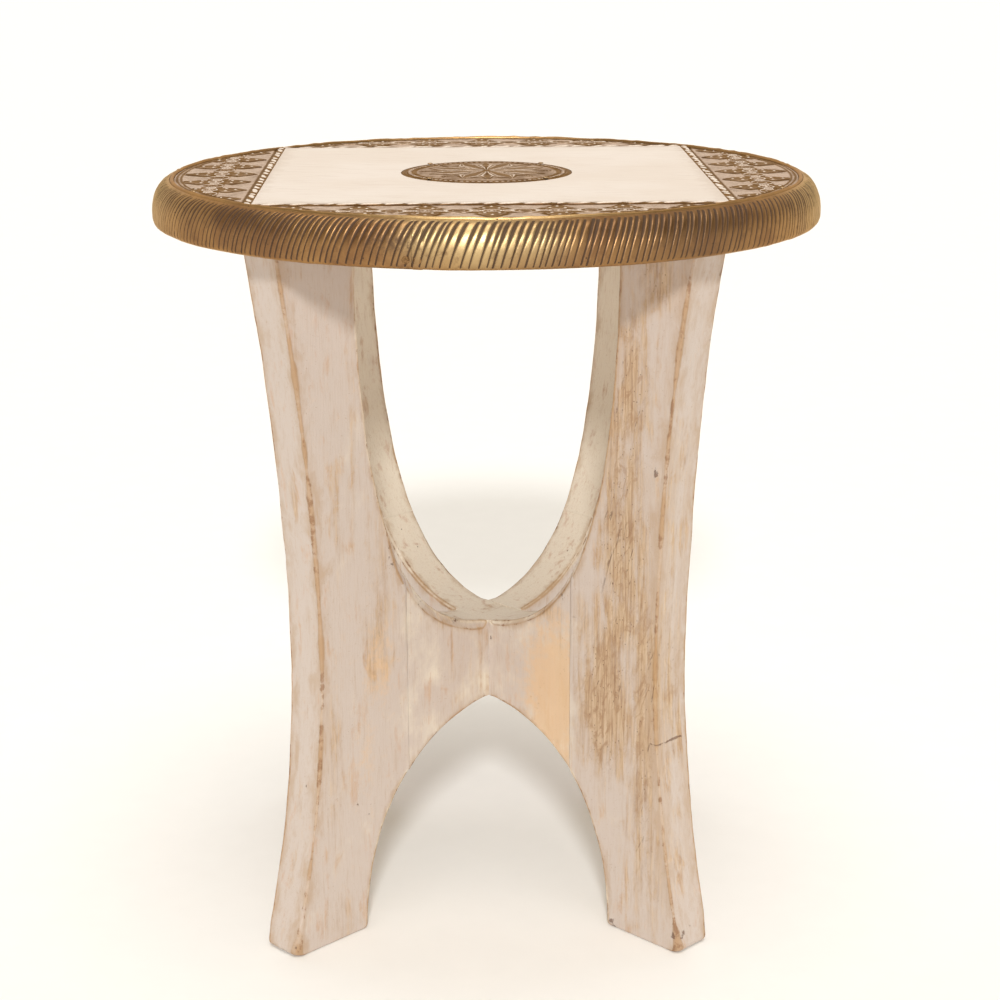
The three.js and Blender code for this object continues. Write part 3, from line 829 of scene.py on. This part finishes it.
def leg_mesh(name, where, seed):
    z = LEG_LEVELS
    glued = inner_edge(z) < SEAM + GAP
    in_seam = glued[:, None]
    inner = inner_edge(z) + np.where(glued, 0, stray(INNER_STRAY, where, z))
    inner = inner + rounded_foot(z, HEEL_RADIUS)
    outer = outer_edge(z) + stray(OUTER_STRAY, where, z) - rounded_foot(z, TOE_RADIUS)
    cut, share = inner_cut(where, inner, in_seam, seed)
    outer_cut = wear_radius(z, seed + 9, 1.2) + 3.2 * (1 - smooth_step(z, 2, 20))[:, None]
    section = rounded_section(inner, outer, cut, (outer_cut, outer_cut), share * CHAMFER_FLATNESS)
    inner, outer = inner[:, None], outer[:, None]

    across, edge = section[..., 0], section[..., 2]
    thick = section[..., 1] * (1 - rounded_foot(z, SOLE_ROUNDING) / HALF_BOARD)[:, None]
    height = np.repeat(z[:, None], across.shape[1], axis=1)
    still = np.maximum(in_seam * (across < SEAM + 1.5), smooth_step(height, 424, 430))
    still = np.maximum(still, 1 - smooth_step(height, 0, 3))
    points = carved(np.stack([across, thick, height], -1), seed + 3, still)

    place = np.stack([across + PAINT_STEP * seed, thick, height], -1)
    cream = leg_cream(across, inner, outer, in_seam)
    local = (across, section[..., 1], height)
    attributes = board_attributes(name, place, local, edge, cream)
    seam_corner = in_seam & ((height < LAP_HEIGHT) | (across < SEAM + 1)) & (across < SEAM + 30)
    attributes["edge_mm"] = np.where(seam_corner, SHELTERED, edge)
    outer_half = across > (inner + outer) / 2
    attributes["rub_mm"] = attributes["edge_mm"] / np.where(outer_half, CORNER_SPREAD[where], 1)
    turned = turned_about_z(points, math.radians(LEG_ANGLES[where]))
    flipped = {key: value[:, ::-1] for key, value in attributes.items()}
    return ring_mesh(name, turned[:, ::-1], flipped)


ARM_STATIONS = 44
NOTCH_STATIONS = 15
LEAST_CUT = 0.05


BLOCK_REACH = SEAM - GAP / 2
LAP_REACH = HALF_BOARD + GAP / 2


def block_outline(notched_from_above):
    """Stations along a block, whether each is in the notch, and its top and bottom there."""
    arm = np.linspace(LAP_REACH, BLOCK_REACH, ARM_STATIONS)
    notch = np.linspace(-LAP_REACH, LAP_REACH, NOTCH_STATIONS)
    stations = np.concatenate([-arm[::-1], notch, arm])
    order = np.arange(len(stations))
    in_notch = (order >= ARM_STATIONS) & (order < ARM_STATIONS + NOTCH_STATIONS)
    top, bottom = (np.interp(np.abs(stations), curve[:, 0], curve[:, 1])
                   for curve in (U_CURVE, ARCH_CURVE))
    if notched_from_above:
        top = np.where(in_notch, LAP_HEIGHT - GAP / 2, top)
    else:
        bottom = np.where(in_notch, LAP_HEIGHT + GAP / 2, bottom)
    return stations, in_notch, top, bottom


def block_cuts(stations, ends, seed):
    """The upper and lower corners' cuts along a block, and how far each station is a chamfer."""
    at_first_end = stations[:, None] < 0
    widths = np.where(at_first_end, CHAMFER_WIDTH[ends[0]][::-1], CHAMFER_WIDTH[ends[1]])
    radius = wear_radius(stations, seed)
    clear = smooth_step(np.abs(stations), LAP_REACH, LAP_REACH + 5)[:, None]
    apart = stations + 1e-6 * np.arange(len(stations))  # two stations coincide at a notch's wall
    hollow = np.interp(np.abs(stations), U_CURVE[:, 0], U_CURVE[:, 1])
    along = (LEAST_CUT + (radius + widths) * clear) * slope_factor(hollow, apart)[:, None]
    depth = LEAST_CUT + (radius + widths * CHAMFER_DEPTH) * clear
    lower = LEAST_CUT + wear_radius(stations, seed + 9, 1.0) * clear
    return (along, depth), (lower, lower), np.repeat(clear, 2, axis=1) * CHAMFER_FLATNESS


def web_block_mesh(name, ends, board_angle, notched_from_above, seed):
    """The middle block: sections set along the board, with a notch half its height."""
    stations, in_notch, top, bottom = block_outline(notched_from_above)
    upper_cut, lower_cut, flatness = block_cuts(stations, ends, seed)
    # The chamfer belongs to the low end of rounded_section, so the section runs downwards.
    section = rounded_section(-top, -bottom, upper_cut, lower_cut, flatness)
    height, thick, edge = -section[..., 0], section[..., 1], section[..., 2]
    across = np.repeat(stations[:, None], height.shape[1], axis=1)
    near_joint = smooth_step(np.abs(across), BLOCK_REACH - 2, BLOCK_REACH)
    near_lap = 1 - smooth_step(np.abs(np.abs(across) - LAP_REACH), 0.5, 4)
    still = np.maximum(np.maximum(near_joint, near_lap), in_notch[:, None])
    points = carved(np.stack([across, thick, height], -1), seed + 3, still)

    cream = WEB_PALENESS + CREAM_BASE + 1.2 * smooth_step(height - top[:, None], -CREAM_DEPTH, 0)
    end = np.where(across < 0, -1, 1)
    paint_seed = np.where(across < 0, LEG_SEEDS[ends[0]], LEG_SEEDS[ends[1]])
    place = np.stack([end * across + PAINT_STEP * paint_seed, end * thick, height], -1)
    attributes = board_attributes(name, place, (across, thick, height), edge, cream)
    at_joint = 1 - smooth_step(np.abs(across), LAP_REACH - 1, LAP_REACH + 0.5)
    sheltered = (across < 0) & ((thick > 0) == notched_from_above)
    attributes["edge_mm"] = edge + SHELTERED * at_joint + 0.8 * sheltered
    attributes["rub_mm"] = attributes["edge_mm"] + 2 * sheltered
    return ring_mesh(name, turned_about_z(points, math.radians(board_angle)), attributes)


# -------- edge band

FLUTE_PITCH = 4.05
FLUTE_DEPTH = 0.60
FLUTE_LEAN = 11.5  # how far a flute's top stands to the right of its foot
FLUTE_BEND = 1.35  # above 1, the lean grows towards the top
FLUTE_START = 0.9  # below the band's upper edge, along the bullnose
FLUTE_LENGTH = 2.0  # a flute deepens over this length
COLUMN = 0.31
LAP_RISE = 0.30  # each strip's start stands up over the end of the one before
LAP_SINK = 0.25
BAND_ROWS = 40
BAND_THICKNESS = 0.85
INSIDE_ROWS = 6

# Patches on the band: angle in degrees (270 is the front), distance down, half sizes, strength
# Painted highlight at the front of the band, and painted reflections of the pale surround at its far
# left and right
HIGHLIGHT_PATCHES = [(269.0, 15, 8.0, 16, 1.0), (262.0, 14, 5.0, 14, 0.9), (277.0, 14, 5.0, 14, 0.8),
                (266.0, 1, 14.0, 4, 1.0), (187.0, 12, 19.0, 30, 0.90), (349.0, 12, 17.0, 30, 1.00)]
# Painted dark reflections on the band, left and right of the front
DARK_REFLECTION_PATCHES = [(303.0, 10, 17.0, 40, 1.0), (230.0, 12, 12.0, 40, 0.35)]
SOOT_PATCHES = [(255.0, 16, 2.6, 4.5, 1.0), (258.3, 18, 1.2, 4.0, 1.0), (281.0, 11, 0.9, 2.0, 1.0),
                (294.0, 12, 0.8, 3.0, 1.0), (251.5, 15, 1.3, 2.5, 1.0), (259.0, 9, 1.5, 2.0, 1.0)]
# Painted highlight along the front of the bead
RING_HIGHLIGHT = [(268, 0, 22, 1, 1.0)]


def band_patches(patches, angle, along):
    mask = np.zeros((len(angle), len(along)))
    for at, down, half_at, half_down, strength in patches:
        off = np.mod(np.degrees(angle) - at + 180, 360) - 180
        q = (off[:, None] / half_at) ** 2 + ((along[None, :] - down) / half_down) ** 2
        mask = np.maximum(mask, strength * np.exp(-q))
    return mask


def bullnose_outline(inset, rows):
    """Points [radius, height] down the bullnose, evenly spaced, and how far along each is."""
    turn = np.linspace(0, math.pi / 2, 80)
    across = RIM_RADIUS - SHOULDER_RADIUS - inset
    up = SHEET_TOP - inset - WIDEST_HEIGHT
    curve = np.stack([SHOULDER_RADIUS + across * np.sin(turn), WIDEST_HEIGHT + up * np.cos(turn)], -1)
    lip_turn = np.linspace(0.1, math.pi / 2, 12)
    lip_drop = STRAIGHT_END - BOARD_HEIGHT
    lip = np.stack([
        LIP_RADIUS - inset + (RIM_RADIUS - LIP_RADIUS) * np.cos(lip_turn),
        STRAIGHT_END - lip_drop * np.sin(lip_turn),
    ], -1)
    line = np.concatenate([curve, lip])
    length = np.concatenate([[0], np.cumsum(np.linalg.norm(np.diff(line, axis=0), axis=1))])
    along = np.linspace(0, length[-1], rows)
    points = np.stack([np.interp(along, length, line[:, i]) for i in (0, 1)], -1)
    return points, along


def flute_centres():
    """Angles of the flutes: hand-spaced, so their pitch wanders."""
    rng = np.random.default_rng(11)
    count = round(2 * math.pi * RIM_RADIUS / FLUTE_PITCH)
    gaps = 1 + 0.16 * rng.standard_normal(count).clip(-2, 2)
    gaps *= 1 + 0.14 * np.sin(np.linspace(0, 14 * math.pi, count) + 1.0)
    centres = np.cumsum(gaps)
    return centres * (2 * math.pi / centres[-1])


def flute_field(angle, along, total):
    """Depth of the chased flutes, 0..1, at angles round the rim and places down the band."""
    centres = flute_centres()
    count = len(centres)
    rng = np.random.default_rng(12)
    width = rng.uniform(0.56, 0.80, count)
    strength = rng.uniform(0.75, 1.0, count)
    start = FLUTE_START + rng.uniform(-0.6, 1.0, count)
    foot = total - rng.uniform(2.6, 3.6, count)
    lean = FLUTE_LEAN + rng.uniform(-0.6, 0.6, count)

    fall = (1 - along / total) ** FLUTE_BEND
    base = np.mod(angle[:, None] - FLUTE_LEAN * fall[None, :] / RIM_RADIUS, 2 * math.pi)
    nearest = np.searchsorted(centres, base)
    field = np.zeros(base.shape)
    for step in (-1, 0):
        k = (nearest + step) % count
        wander = (lean[k] - FLUTE_LEAN) * fall[None, :]
        gap = np.mod(base - centres[k] + math.pi, 2 * math.pi) - math.pi
        distance = gap * RIM_RADIUS - wander
        ends = smooth_step(along[None, :], start[k], start[k] + FLUTE_LENGTH)
        ends = ends * (1 - smooth_step(along[None, :], foot[k] - 0.8, foot[k] + 0.3))
        swell = width[k] * (1.45 - 0.70 * smooth_step(along[None, :] / total, 0.25, 0.6))
        field = np.maximum(field, strength[k] * np.exp(-((distance / swell) ** 4)) * ends)
    return field


def beaten_shift(angle, along, field):
    """How far the band's surface stands out from the plain bullnose: flutes, dents and lap."""
    flat = np.stack(np.broadcast_arrays(angle[:, None] * RIM_RADIUS, along[None, :], 0.0), -1)
    dents = 0.20 * noise(flat, 17, 21) + 0.10 * noise(flat, 6, 22)
    crumple = smooth_step(noise(flat, 12, 23), 0.45, 0.9) * noise(flat, 2.2, 24)
    shift = -FLUTE_DEPTH * field + dents - 0.20 + 0.22 * crumple
    from_start = (angle - angle[0]) * RIM_RADIUS
    to_end = (angle[-1] - angle) * RIM_RADIUS
    shift += LAP_RISE * (1 - smooth_step(from_start, 4.5, 6.0))[:, None]
    shift -= LAP_SINK * (1 - smooth_step(to_end, 2.0, 8.0))[:, None]
    return shift * smooth_step(along, 0, 1.5)[None, :]


def edge_band_mesh(strip):
    share = 2 * math.pi / BAND_STRIPS
    trim = GAP / 2 / RIM_RADIUS
    start = BAND_SEAM + strip * share + trim
    end = BAND_SEAM + (strip + 1) * share - trim
    columns = int((end - start) * RIM_RADIUS / COLUMN)
    angle = np.linspace(start, end, columns)

    outside, along = bullnose_outline(0.0, BAND_ROWS)
    inside = bullnose_outline(BAND_THICKNESS, INSIDE_ROWS)[0][::-1]
    tangent = np.gradient(outside, axis=0)
    tangent /= np.linalg.norm(tangent, axis=1, keepdims=True)
    outward = np.stack([-tangent[:, 1], tangent[:, 0]], -1)

    field = flute_field(angle, along, along[-1])
    shift = beaten_shift(angle, along, field)
    radius, height = (
        np.concatenate([outside[:, i] + outward[:, i] * shift,
                        np.broadcast_to(inside[:, i], (columns, INSIDE_ROWS))], 1)
        for i in (0, 1)
    )
    points = polar(radius, angle, np.maximum(height, BOARD_HEIGHT))
    plain = smooth_step(along, along[-1] - 3.6, along[-1] - 2.6) + 1 - smooth_step(along, 0.3, 1.3)
    attributes = {"groove": widened(field, INSIDE_ROWS, 0.8),
                  "lip": widened(np.broadcast_to(plain, field.shape), INSIDE_ROWS)}
    # Masks of painted highlight, real soot, and painted dark reflection
    for key, patches in (("painted_highlight", HIGHLIGHT_PATCHES), ("soot", SOOT_PATCHES), ("dull", DARK_REFLECTION_PATCHES)):
        attributes[key] = widened(band_patches(patches, angle, along), INSIDE_ROWS)
    return ring_mesh(f"edge_band_{strip + 1}", points, attributes)


def ring_bead_mesh():
    """The half-round bead between the flat top and the band, slightly uneven."""
    angle = np.linspace(0, 2 * math.pi, 900, endpoint=False)
    turn = np.linspace(0, math.pi, 9)
    middle = (RING_INNER + RING_OUTER) / 2
    half = (RING_OUTER - RING_INNER) / 2
    radius = np.concatenate([middle - half * np.cos(turn), [RING_OUTER, RING_INNER]])
    rise = np.concatenate([RING_FOOT + (RING_HEIGHT - RING_FOOT) * np.sin(turn), [0, 0]])
    spot = np.stack([angle * middle, angle * 0, angle * 0], -1)
    swell = 1 + 0.10 * noise(spot, 5, 31) + 0.10 * noise(spot, 21, 32)
    height = CORE_TOP + rise[None, :] * swell[:, None]
    points = polar(np.broadcast_to(radius, height.shape), angle, height)
    groove = np.broadcast_to(np.where(rise < 1.0, 0.55, 0.0), height.shape)
    # Painted highlight along the front of the bead
    painted_highlight = np.broadcast_to(band_patches(RING_HIGHLIGHT, angle, np.zeros(1)), height.shape)
    none = np.zeros(height.shape)
    attributes = {"groove": groove[:, ::-1], "lip": none + 1, "painted_highlight": painted_highlight, "soot": none, "dull": none}
    return ring_mesh("rim_bead_ring", points[:, ::-1], attributes, closed_rows=True)


# -------- embossed sheets

UNDERSIDE = CORE_TOP + 0.02  # the sheets' flat backs, just clear of the core


def flat_back(*edges):
    """Rows of points [column, edge, xyz] on the underside, from pairs of x and y arrays."""
    lines = [np.stack([*np.broadcast_arrays(x, y, UNDERSIDE)], -1) for x, y in edges]
    return np.stack(lines, 1)


def sheet_mesh(name, top, back, relief, wash, angle, closed_rows=False):
    """A closed embossed sheet, turned about Z. Closed rows run the other way round."""
    way = -1 if closed_rows else 1
    points = turned_about_z(np.concatenate([top, back], 1), math.radians(angle) + TWIST)
    attributes = {"relief": widened(relief, 2)[:, ::way], "wash": widened(wash, 2)[:, ::way]}
    return ring_mesh(name, points[:, ::way], attributes, closed_rows)


def lozenge(across, along, stations, half_widths):
    """q of a pointed leaf: 0 on its midrib, 1 on its outline, above 1 outside."""
    width = np.interp(along, stations, half_widths)
    beyond = np.maximum(stations[0] - along, along - stations[-1])
    return np.where(beyond > 0, 2.0 + beyond, np.abs(across) / np.maximum(width, 0.6))


ROLLED_EDGE = 0.84  # q of a leaf's raised border
OUTLINE = 1.10  # q of the dark line punched round a leaf
LEAF_END = 1.15
BRIGHTEST = 1.2


def leaf_relief(q):
    """A raised leaf with a rolled border."""
    return np.where(q < LEAF_END, 0.34 * dome(q) + 0.30 * ridge(q - ROLLED_EDGE, 0.13), 0)


def dots(x, y, places, radius):
    """Small round bosses, as 0..1."""
    field = np.zeros(x.shape)
    for dot_x, dot_y in places:
        field = np.maximum(field, dome(np.hypot(x - dot_x, y - dot_y) / radius))
    return field


PERIOD = 36.0
CHAIN = 24.0  # the row of interlaced rings, from the chord
CHAIN_HALF = 6.5
INNER_LEAF = ([2.6, 8.0, 13.5, 21.0], [0.5, 5.4, 9.4, 4.4])
OUTER_LEAF = ([27.0, 33.5, 40.0, 48.0], [4.4, 8.8, 5.2, 0.5])
DOT_PLACES = [(0, 9), (-4.2, 14.5), (4.2, 14.5), (0, CHAIN), (-4.0, 32.5), (4.0, 32.5), (0, 39)]
CHAIN_RINGS = [(0, 5.2), (-PERIOD / 2, 7.4), (PERIOD / 2, 7.4), (-9, 3.0), (9, 3.0)]
BORDER_WIDTH = 4.6
BORDER_LINES = (4.2, 1.7)
EMBOSSING = 1.25  # the height of a full relief
BLUNT_TIP = 0.4


def segment_pattern(u, v, rim):
    """Relief, brightness and whitewash at u along the chord, v out from it.

    rim is the distance to the sheet's curved edge.
    """
    cell = np.mod(u + PERIOD / 2, PERIOD) - PERIOD / 2
    q = np.minimum(lozenge(cell, v, *INNER_LEAF), lozenge(cell, v, *OUTER_LEAF))
    in_chain = 1 - smooth_step(np.abs(v - CHAIN), CHAIN_HALF - 0.8, CHAIN_HALF)

    rings = np.zeros(u.shape)
    for centre, radius in CHAIN_RINGS:
        reach = np.hypot(cell - centre, (v - CHAIN) * 1.2)
        inner = 0.8 * ridge(reach - radius * 0.45, 0.6)
        rings = np.maximum.reduce([rings, ridge(reach - radius, 0.75), inner])
    bosses = dots(cell, v, DOT_PLACES, 1.35)
    height = np.maximum.reduce([leaf_relief(q), in_chain * (0.22 + 0.30 * rings), 0.60 * bosses])

    ground = (1 - in_chain) * smooth_step(q, 1.06, 1.22)
    outline = ridge(q - OUTLINE, 0.10) * (1 - in_chain)
    wash = np.maximum.reduce([
        0.62 * ground,
        0.95 * bosses * (bosses > 0.3),
        0.90 * in_chain * rings,
        0.55 * ridge(q - ROLLED_EDGE, 0.12) * (1 - in_chain),
    ])
    wash = wash * (1 - 0.9 * outline)
    relief = np.clip(0.55 + 0.4 * height - 0.55 * outline + 0.3 * bosses, 0, BRIGHTEST)

    border = 1 - smooth_step(rim, BORDER_WIDTH, BORDER_WIDTH + 0.8)
    lines = np.maximum(*(ridge(rim - place, 0.5) for place in BORDER_LINES))
    height = height * (1 - border) + 0.45 * lines
    wash = wash * (1 - border) + border * (0.55 - 0.5 * lines)
    relief = relief * (1 - border) + border * (0.5 - 0.3 * lines)
    beside_strip = ridge(v - 0.5, 0.7)
    return height, relief - 0.5 * beside_strip, wash * (1 - beside_strip)


def segment_mesh(side, angle):
    reach = math.sqrt(SEGMENT_RADIUS ** 2 - CHORD ** 2) - BLUNT_TIP
    u = np.linspace(-reach, reach, 640)
    depth = np.sqrt(SEGMENT_RADIUS ** 2 - u ** 2) - CHORD
    v = depth[:, None] * np.linspace(0, 1, 116)
    along = np.broadcast_to(u[:, None], v.shape)
    rim = SEGMENT_RADIUS - np.hypot(CHORD + v, along)
    height, relief, wash = segment_pattern(along, v, rim)

    flat = np.stack([v, along, v * 0], -1)
    warp = 0.10 * noise(flat, 24, 41 + angle) + 0.04 * noise(flat, 4, 42 + angle)
    z = SHEET_TOP - 0.25 + warp + EMBOSSING * height
    top = np.stack([CHORD + v, along, z], -1)
    back = flat_back((CHORD + depth, u), (CHORD, u))
    return sheet_mesh(f"brass_segment_{side}", top, back, relief, wash, angle)


LONG_STRIP = SEGMENT_RADIUS * 0.707
ROPE_TWIST = (13.0, 8.0)  # one turn of the rope, along the strip and across it
ROPE_DEPTH = 0.9


def border_strip_mesh(side, angle):
    """A strip embossed as a twisted rope."""
    half = LONG_STRIP if side in ("front", "back") else STRIP_INNER - GAP
    u = np.linspace(-half, half, 900)
    half_width = (STRIP_OUTER - STRIP_INNER) / 2
    w = np.linspace(-half_width, half_width, 17)
    along, across = np.meshgrid(u, w, indexing="ij")
    wander = 0.5 * noise(np.stack([along, across, along * 0], -1), 7, 51 + angle)
    turns = along / ROPE_TWIST[0] + across / ROPE_TWIST[1] + 0.8 * wander
    lay = np.cos(2 * math.pi * turns)
    rope = dome(np.abs(across) / (half_width - 0.35))
    height = rope * (0.50 + 0.48 * lay)
    wash = 0.88 * smooth_step(height + 0.20 * wander, 0.20, 0.55)
    relief = 0.50 + 0.30 * height
    z = STRIP_TOP - ROPE_DEPTH + ROPE_DEPTH * height
    middle = (STRIP_OUTER + STRIP_INNER) / 2
    top = np.stack([middle + across, along, z], -1)
    back = flat_back((STRIP_OUTER, u), (STRIP_INNER, u))
    return sheet_mesh(f"border_strip_{side}", top, back, relief, wash, angle)


PETAL = ([2.5, 12, 26, 38], [0.5, 4.6, 8.2, 0.6])
SEPAL = ([19, 27, 40], [0.5, 3.4, 0.5])
FLOWER_RADIUS = 43.0
FLOWER_DOTS = [(40.2, 0), (14.5, 0)]
BEAD_RADIUS = 47.0
BEAD_COUNT = 84
RING_RADII = (44.2, 49.9)  # the raised lines on both sides of the beads
PETALS = 8


def medallion_pattern(x, y):
    """Pointed petals inside a beaded ring."""
    distance = np.hypot(x, y)
    angle = np.arctan2(y, x)
    sector = 2 * math.pi / PETALS
    off_petal = np.mod(angle, sector) - sector / 2
    off_gap = np.mod(angle + sector / 2, sector) - sector / 2
    petal = lozenge(distance * np.sin(off_petal), distance * np.cos(off_petal), *PETAL)
    sepal = lozenge(distance * np.sin(off_gap), distance * np.cos(off_gap), *SEPAL)
    q = np.minimum(petal, sepal)
    inner_line = ridge(petal - 0.5, 0.09) * (distance > 10)
    bosses = dots(distance * np.cos(off_gap), distance * np.sin(off_gap), FLOWER_DOTS, 1.5)
    bosses = np.maximum(bosses, dome(distance / 2.6))
    height = np.maximum(leaf_relief(q) + 0.15 * inner_line, 0.6 * bosses)

    outline = ridge(q - OUTLINE, 0.11)
    near_centre = 1 - smooth_step(distance, 15, 18)
    wash = np.maximum.reduce([
        near_centre * smooth_step(q, 1.1, 1.3) * (distance > 3.5),
        0.85 * ridge(q - ROLLED_EDGE, 0.13),
        0.80 * inner_line,
        0.50 * smooth_step(q, LEAF_END, 1.4) * (1 - near_centre),
    ])
    wash = wash * (1 - 0.9 * outline)
    relief = np.clip(0.58 + 0.4 * height - 0.5 * outline, 0, BRIGHTEST)

    bead_step = 2 * math.pi / BEAD_COUNT
    off_bead = (np.mod(angle, bead_step) - bead_step / 2) * distance
    beads = 0.55 * dome(np.hypot(off_bead, distance - BEAD_RADIUS) / 1.5)
    rings = 0.55 * sum(ridge(distance - radius, 0.6) for radius in RING_RADII)
    outside = distance > FLOWER_RADIUS
    height = np.where(outside, np.maximum(beads, rings), height)
    relief = np.where(outside, 0.28 + height, relief)
    wash = np.where(outside, 0.45 * ridge(distance - 49.0, 0.7) + 0.65 * (beads > 0.3), wash)
    return height, relief, wash


def medallion_mesh():
    angle = np.linspace(0, 2 * math.pi, 560, endpoint=False)
    distance = np.linspace(0.05, MEDALLION_RADIUS, 128)
    x = np.cos(angle)[:, None] * distance
    y = np.sin(angle)[:, None] * distance
    height, relief, wash = medallion_pattern(x, y)
    crown = 0.7 * (1 - smooth_step(distance, 36, 46))
    z = MEDALLION_TOP - 0.9 + crown + 0.95 * height
    z[:, -1] = MEDALLION_TOP - 1.1
    top = np.stack([x, y, z], -1)
    back = flat_back((x[:, -1], y[:, -1]), (x[:, 0], y[:, 0]))
    return sheet_mesh("centre_medallion", top, back, relief, wash, 0, closed_rows=True)


# -------- build the table


# Part of a CAD node's name, and the material of the nodes that carry it
CAD_FINISHES = {"core_plank": "core", "dowel": "dowel", "nail": "nail", "pin": "pin",
                "white_panel": "panel"}


def finish_cad_nodes(materials):
    """CAD nodes that stay as they are get their procedural material."""
    for name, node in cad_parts.items():
        for part, finish in CAD_FINISHES.items():
            if part in name:
                node.data.materials.clear()
                node.data.materials.append(materials[finish])


def build_table():
    materials = {
        "whitewash": whitewash_material(),
        "panel": panel_material(),
        "core": core_material(),
        "dowel": dowel_material(),
        "edge": edge_brass_material(),
        "embossed": embossed_brass_material(),
        "pin": pin_material("pin_brass", (0.30, 0.20, 0.11), (0.46, 0.33, 0.20)),
        "nail": pin_material("nail_brass", (0.13, 0.07, 0.03), (0.34, 0.19, 0.08)),
    }
    finish_cad_nodes(materials)

    for where, seed in LEG_SEEDS.items():
        name = f"leg_{where}"
        put(leg_mesh(name, where, seed), name, materials["whitewash"])
    blocks = {
        "web_block_lower": (["front_left", "back_right"], 45, True, 8),
        "web_block_upper": (["front_right", "back_left"], 135, False, 9),
    }
    for name, settings in blocks.items():
        put(web_block_mesh(name, *settings), name, materials["whitewash"])

    for strip in range(BAND_STRIPS):
        put(edge_band_mesh(strip), f"edge_band_{strip + 1}", materials["edge"])
    put(ring_bead_mesh(), "rim_bead_ring", materials["edge"])
    sheets = {}
    for side, angle in SIDES.items():
        sheets[f"brass_segment_{side}"] = segment_mesh(side, angle)
        sheets[f"border_strip_{side}"] = border_strip_mesh(side, angle)
    sheets["centre_medallion"] = medallion_mesh()
    for name, mesh in sheets.items():
        put(mesh, name, materials["embossed"])


# -------- studio

CAMERA_BACK = 1.329
CAMERA_HEIGHT = 0.6274
CAMERA_PITCH = math.radians(15.83)
CAMERA_YAW = math.radians(0.33)
CAMERA_ROLL = math.radians(-0.17)
CAMERA_LENS = 78.0


def add_camera():
    data = bpy.data.cameras.new("camera")
    data.lens = CAMERA_LENS
    data.sensor_width = 36
    data.clip_end = 50
    camera = bpy.data.objects.new("camera", data)
    camera.location = (0, -CAMERA_BACK, CAMERA_HEIGHT)
    camera.rotation_euler = (math.pi / 2 - CAMERA_PITCH, 0, -CAMERA_YAW)
    camera.rotation_euler.rotate_axis("Z", CAMERA_ROLL)
    bpy.context.scene.collection.objects.link(camera)
    bpy.context.scene.camera = camera


# The surround: dim and brown in front of the table, pale behind it and near the horizon
FRONT_LIGHT = (0.200, 0.165, 0.100)
BACK_LIGHT = (0.920, 0.885, 0.840)
BACK_START = (-0.15, 0.55)
HORIZON_GLOW = (0.32, 0.18)

# Distant lights: azimuth from the front to the right, elevation, spread, strength, colour
SUNS = {
    "key": (0, 31, 7, 1.94, (0.93, 0.96, 0.98)),
    "overhead": (10, 78, 40, 1.32, (1.0, 0.98, 0.95)),
}
FLOOR_REACH = 60.0
FLOOR_SHADE = (0.930, 0.915, 0.885)
FLOOR_LIGHT = (0.960, 0.945, 0.915)


def add_sun(name, azimuth, elevation, spread, strength, color):
    around, up = math.radians(azimuth), math.radians(elevation)
    aim = Vector((math.sin(around) * math.cos(up), -math.cos(around) * math.cos(up), math.sin(up)))
    data = bpy.data.lights.new(name, "SUN")
    data.angle = math.radians(spread)
    data.energy = strength
    data.color = color
    lamp = bpy.data.objects.new(name, data)
    lamp.rotation_euler = (-aim).to_track_quat("-Z", "Y").to_euler()
    bpy.context.scene.collection.objects.link(lamp)


def add_surround():
    world = bpy.data.worlds.new("studio")
    bpy.context.scene.world = world
    world.use_nodes = True
    sky = Nodes(world.node_tree)
    direction = sky.node("ShaderNodeTexCoord", {}).outputs["Generated"]
    axes = sky.node("ShaderNodeSeparateXYZ", {"Vector": direction}).outputs
    pale = sky.greatest(sky.band(axes["Y"], *BACK_START), sky.band(axes["Z"], *HORIZON_GLOW))
    background = world.node_tree.nodes["Background"]
    sky.feed(background.inputs["Color"], sky.mix(pale, FRONT_LIGHT, BACK_LIGHT))


def add_floor():
    mesh = bpy.data.meshes.new("floor")
    corners = [(x * FLOOR_REACH, y * FLOOR_REACH, 0) for x, y in ((-1, -1), (1, -1), (1, 1), (-1, 1))]
    mesh.from_pydata(corners, [], [(0, 1, 2, 3)])
    floor = bpy.data.objects.new("floor", mesh)
    bpy.context.scene.collection.objects.link(floor)
    s = Shader("floor_paper")
    color = s.mix(s.noise(s.place(), 0.4, 3), FLOOR_SHADE, FLOOR_LIGHT)
    mesh.materials.append(s.finish(color=color, roughness=0.8))


add_camera()
build_table()
add_surround()
for sun, settings in SUNS.items():
    add_sun(sun, *settings)
add_floor()
bpy.context.scene.view_settings.view_transform = "Standard"
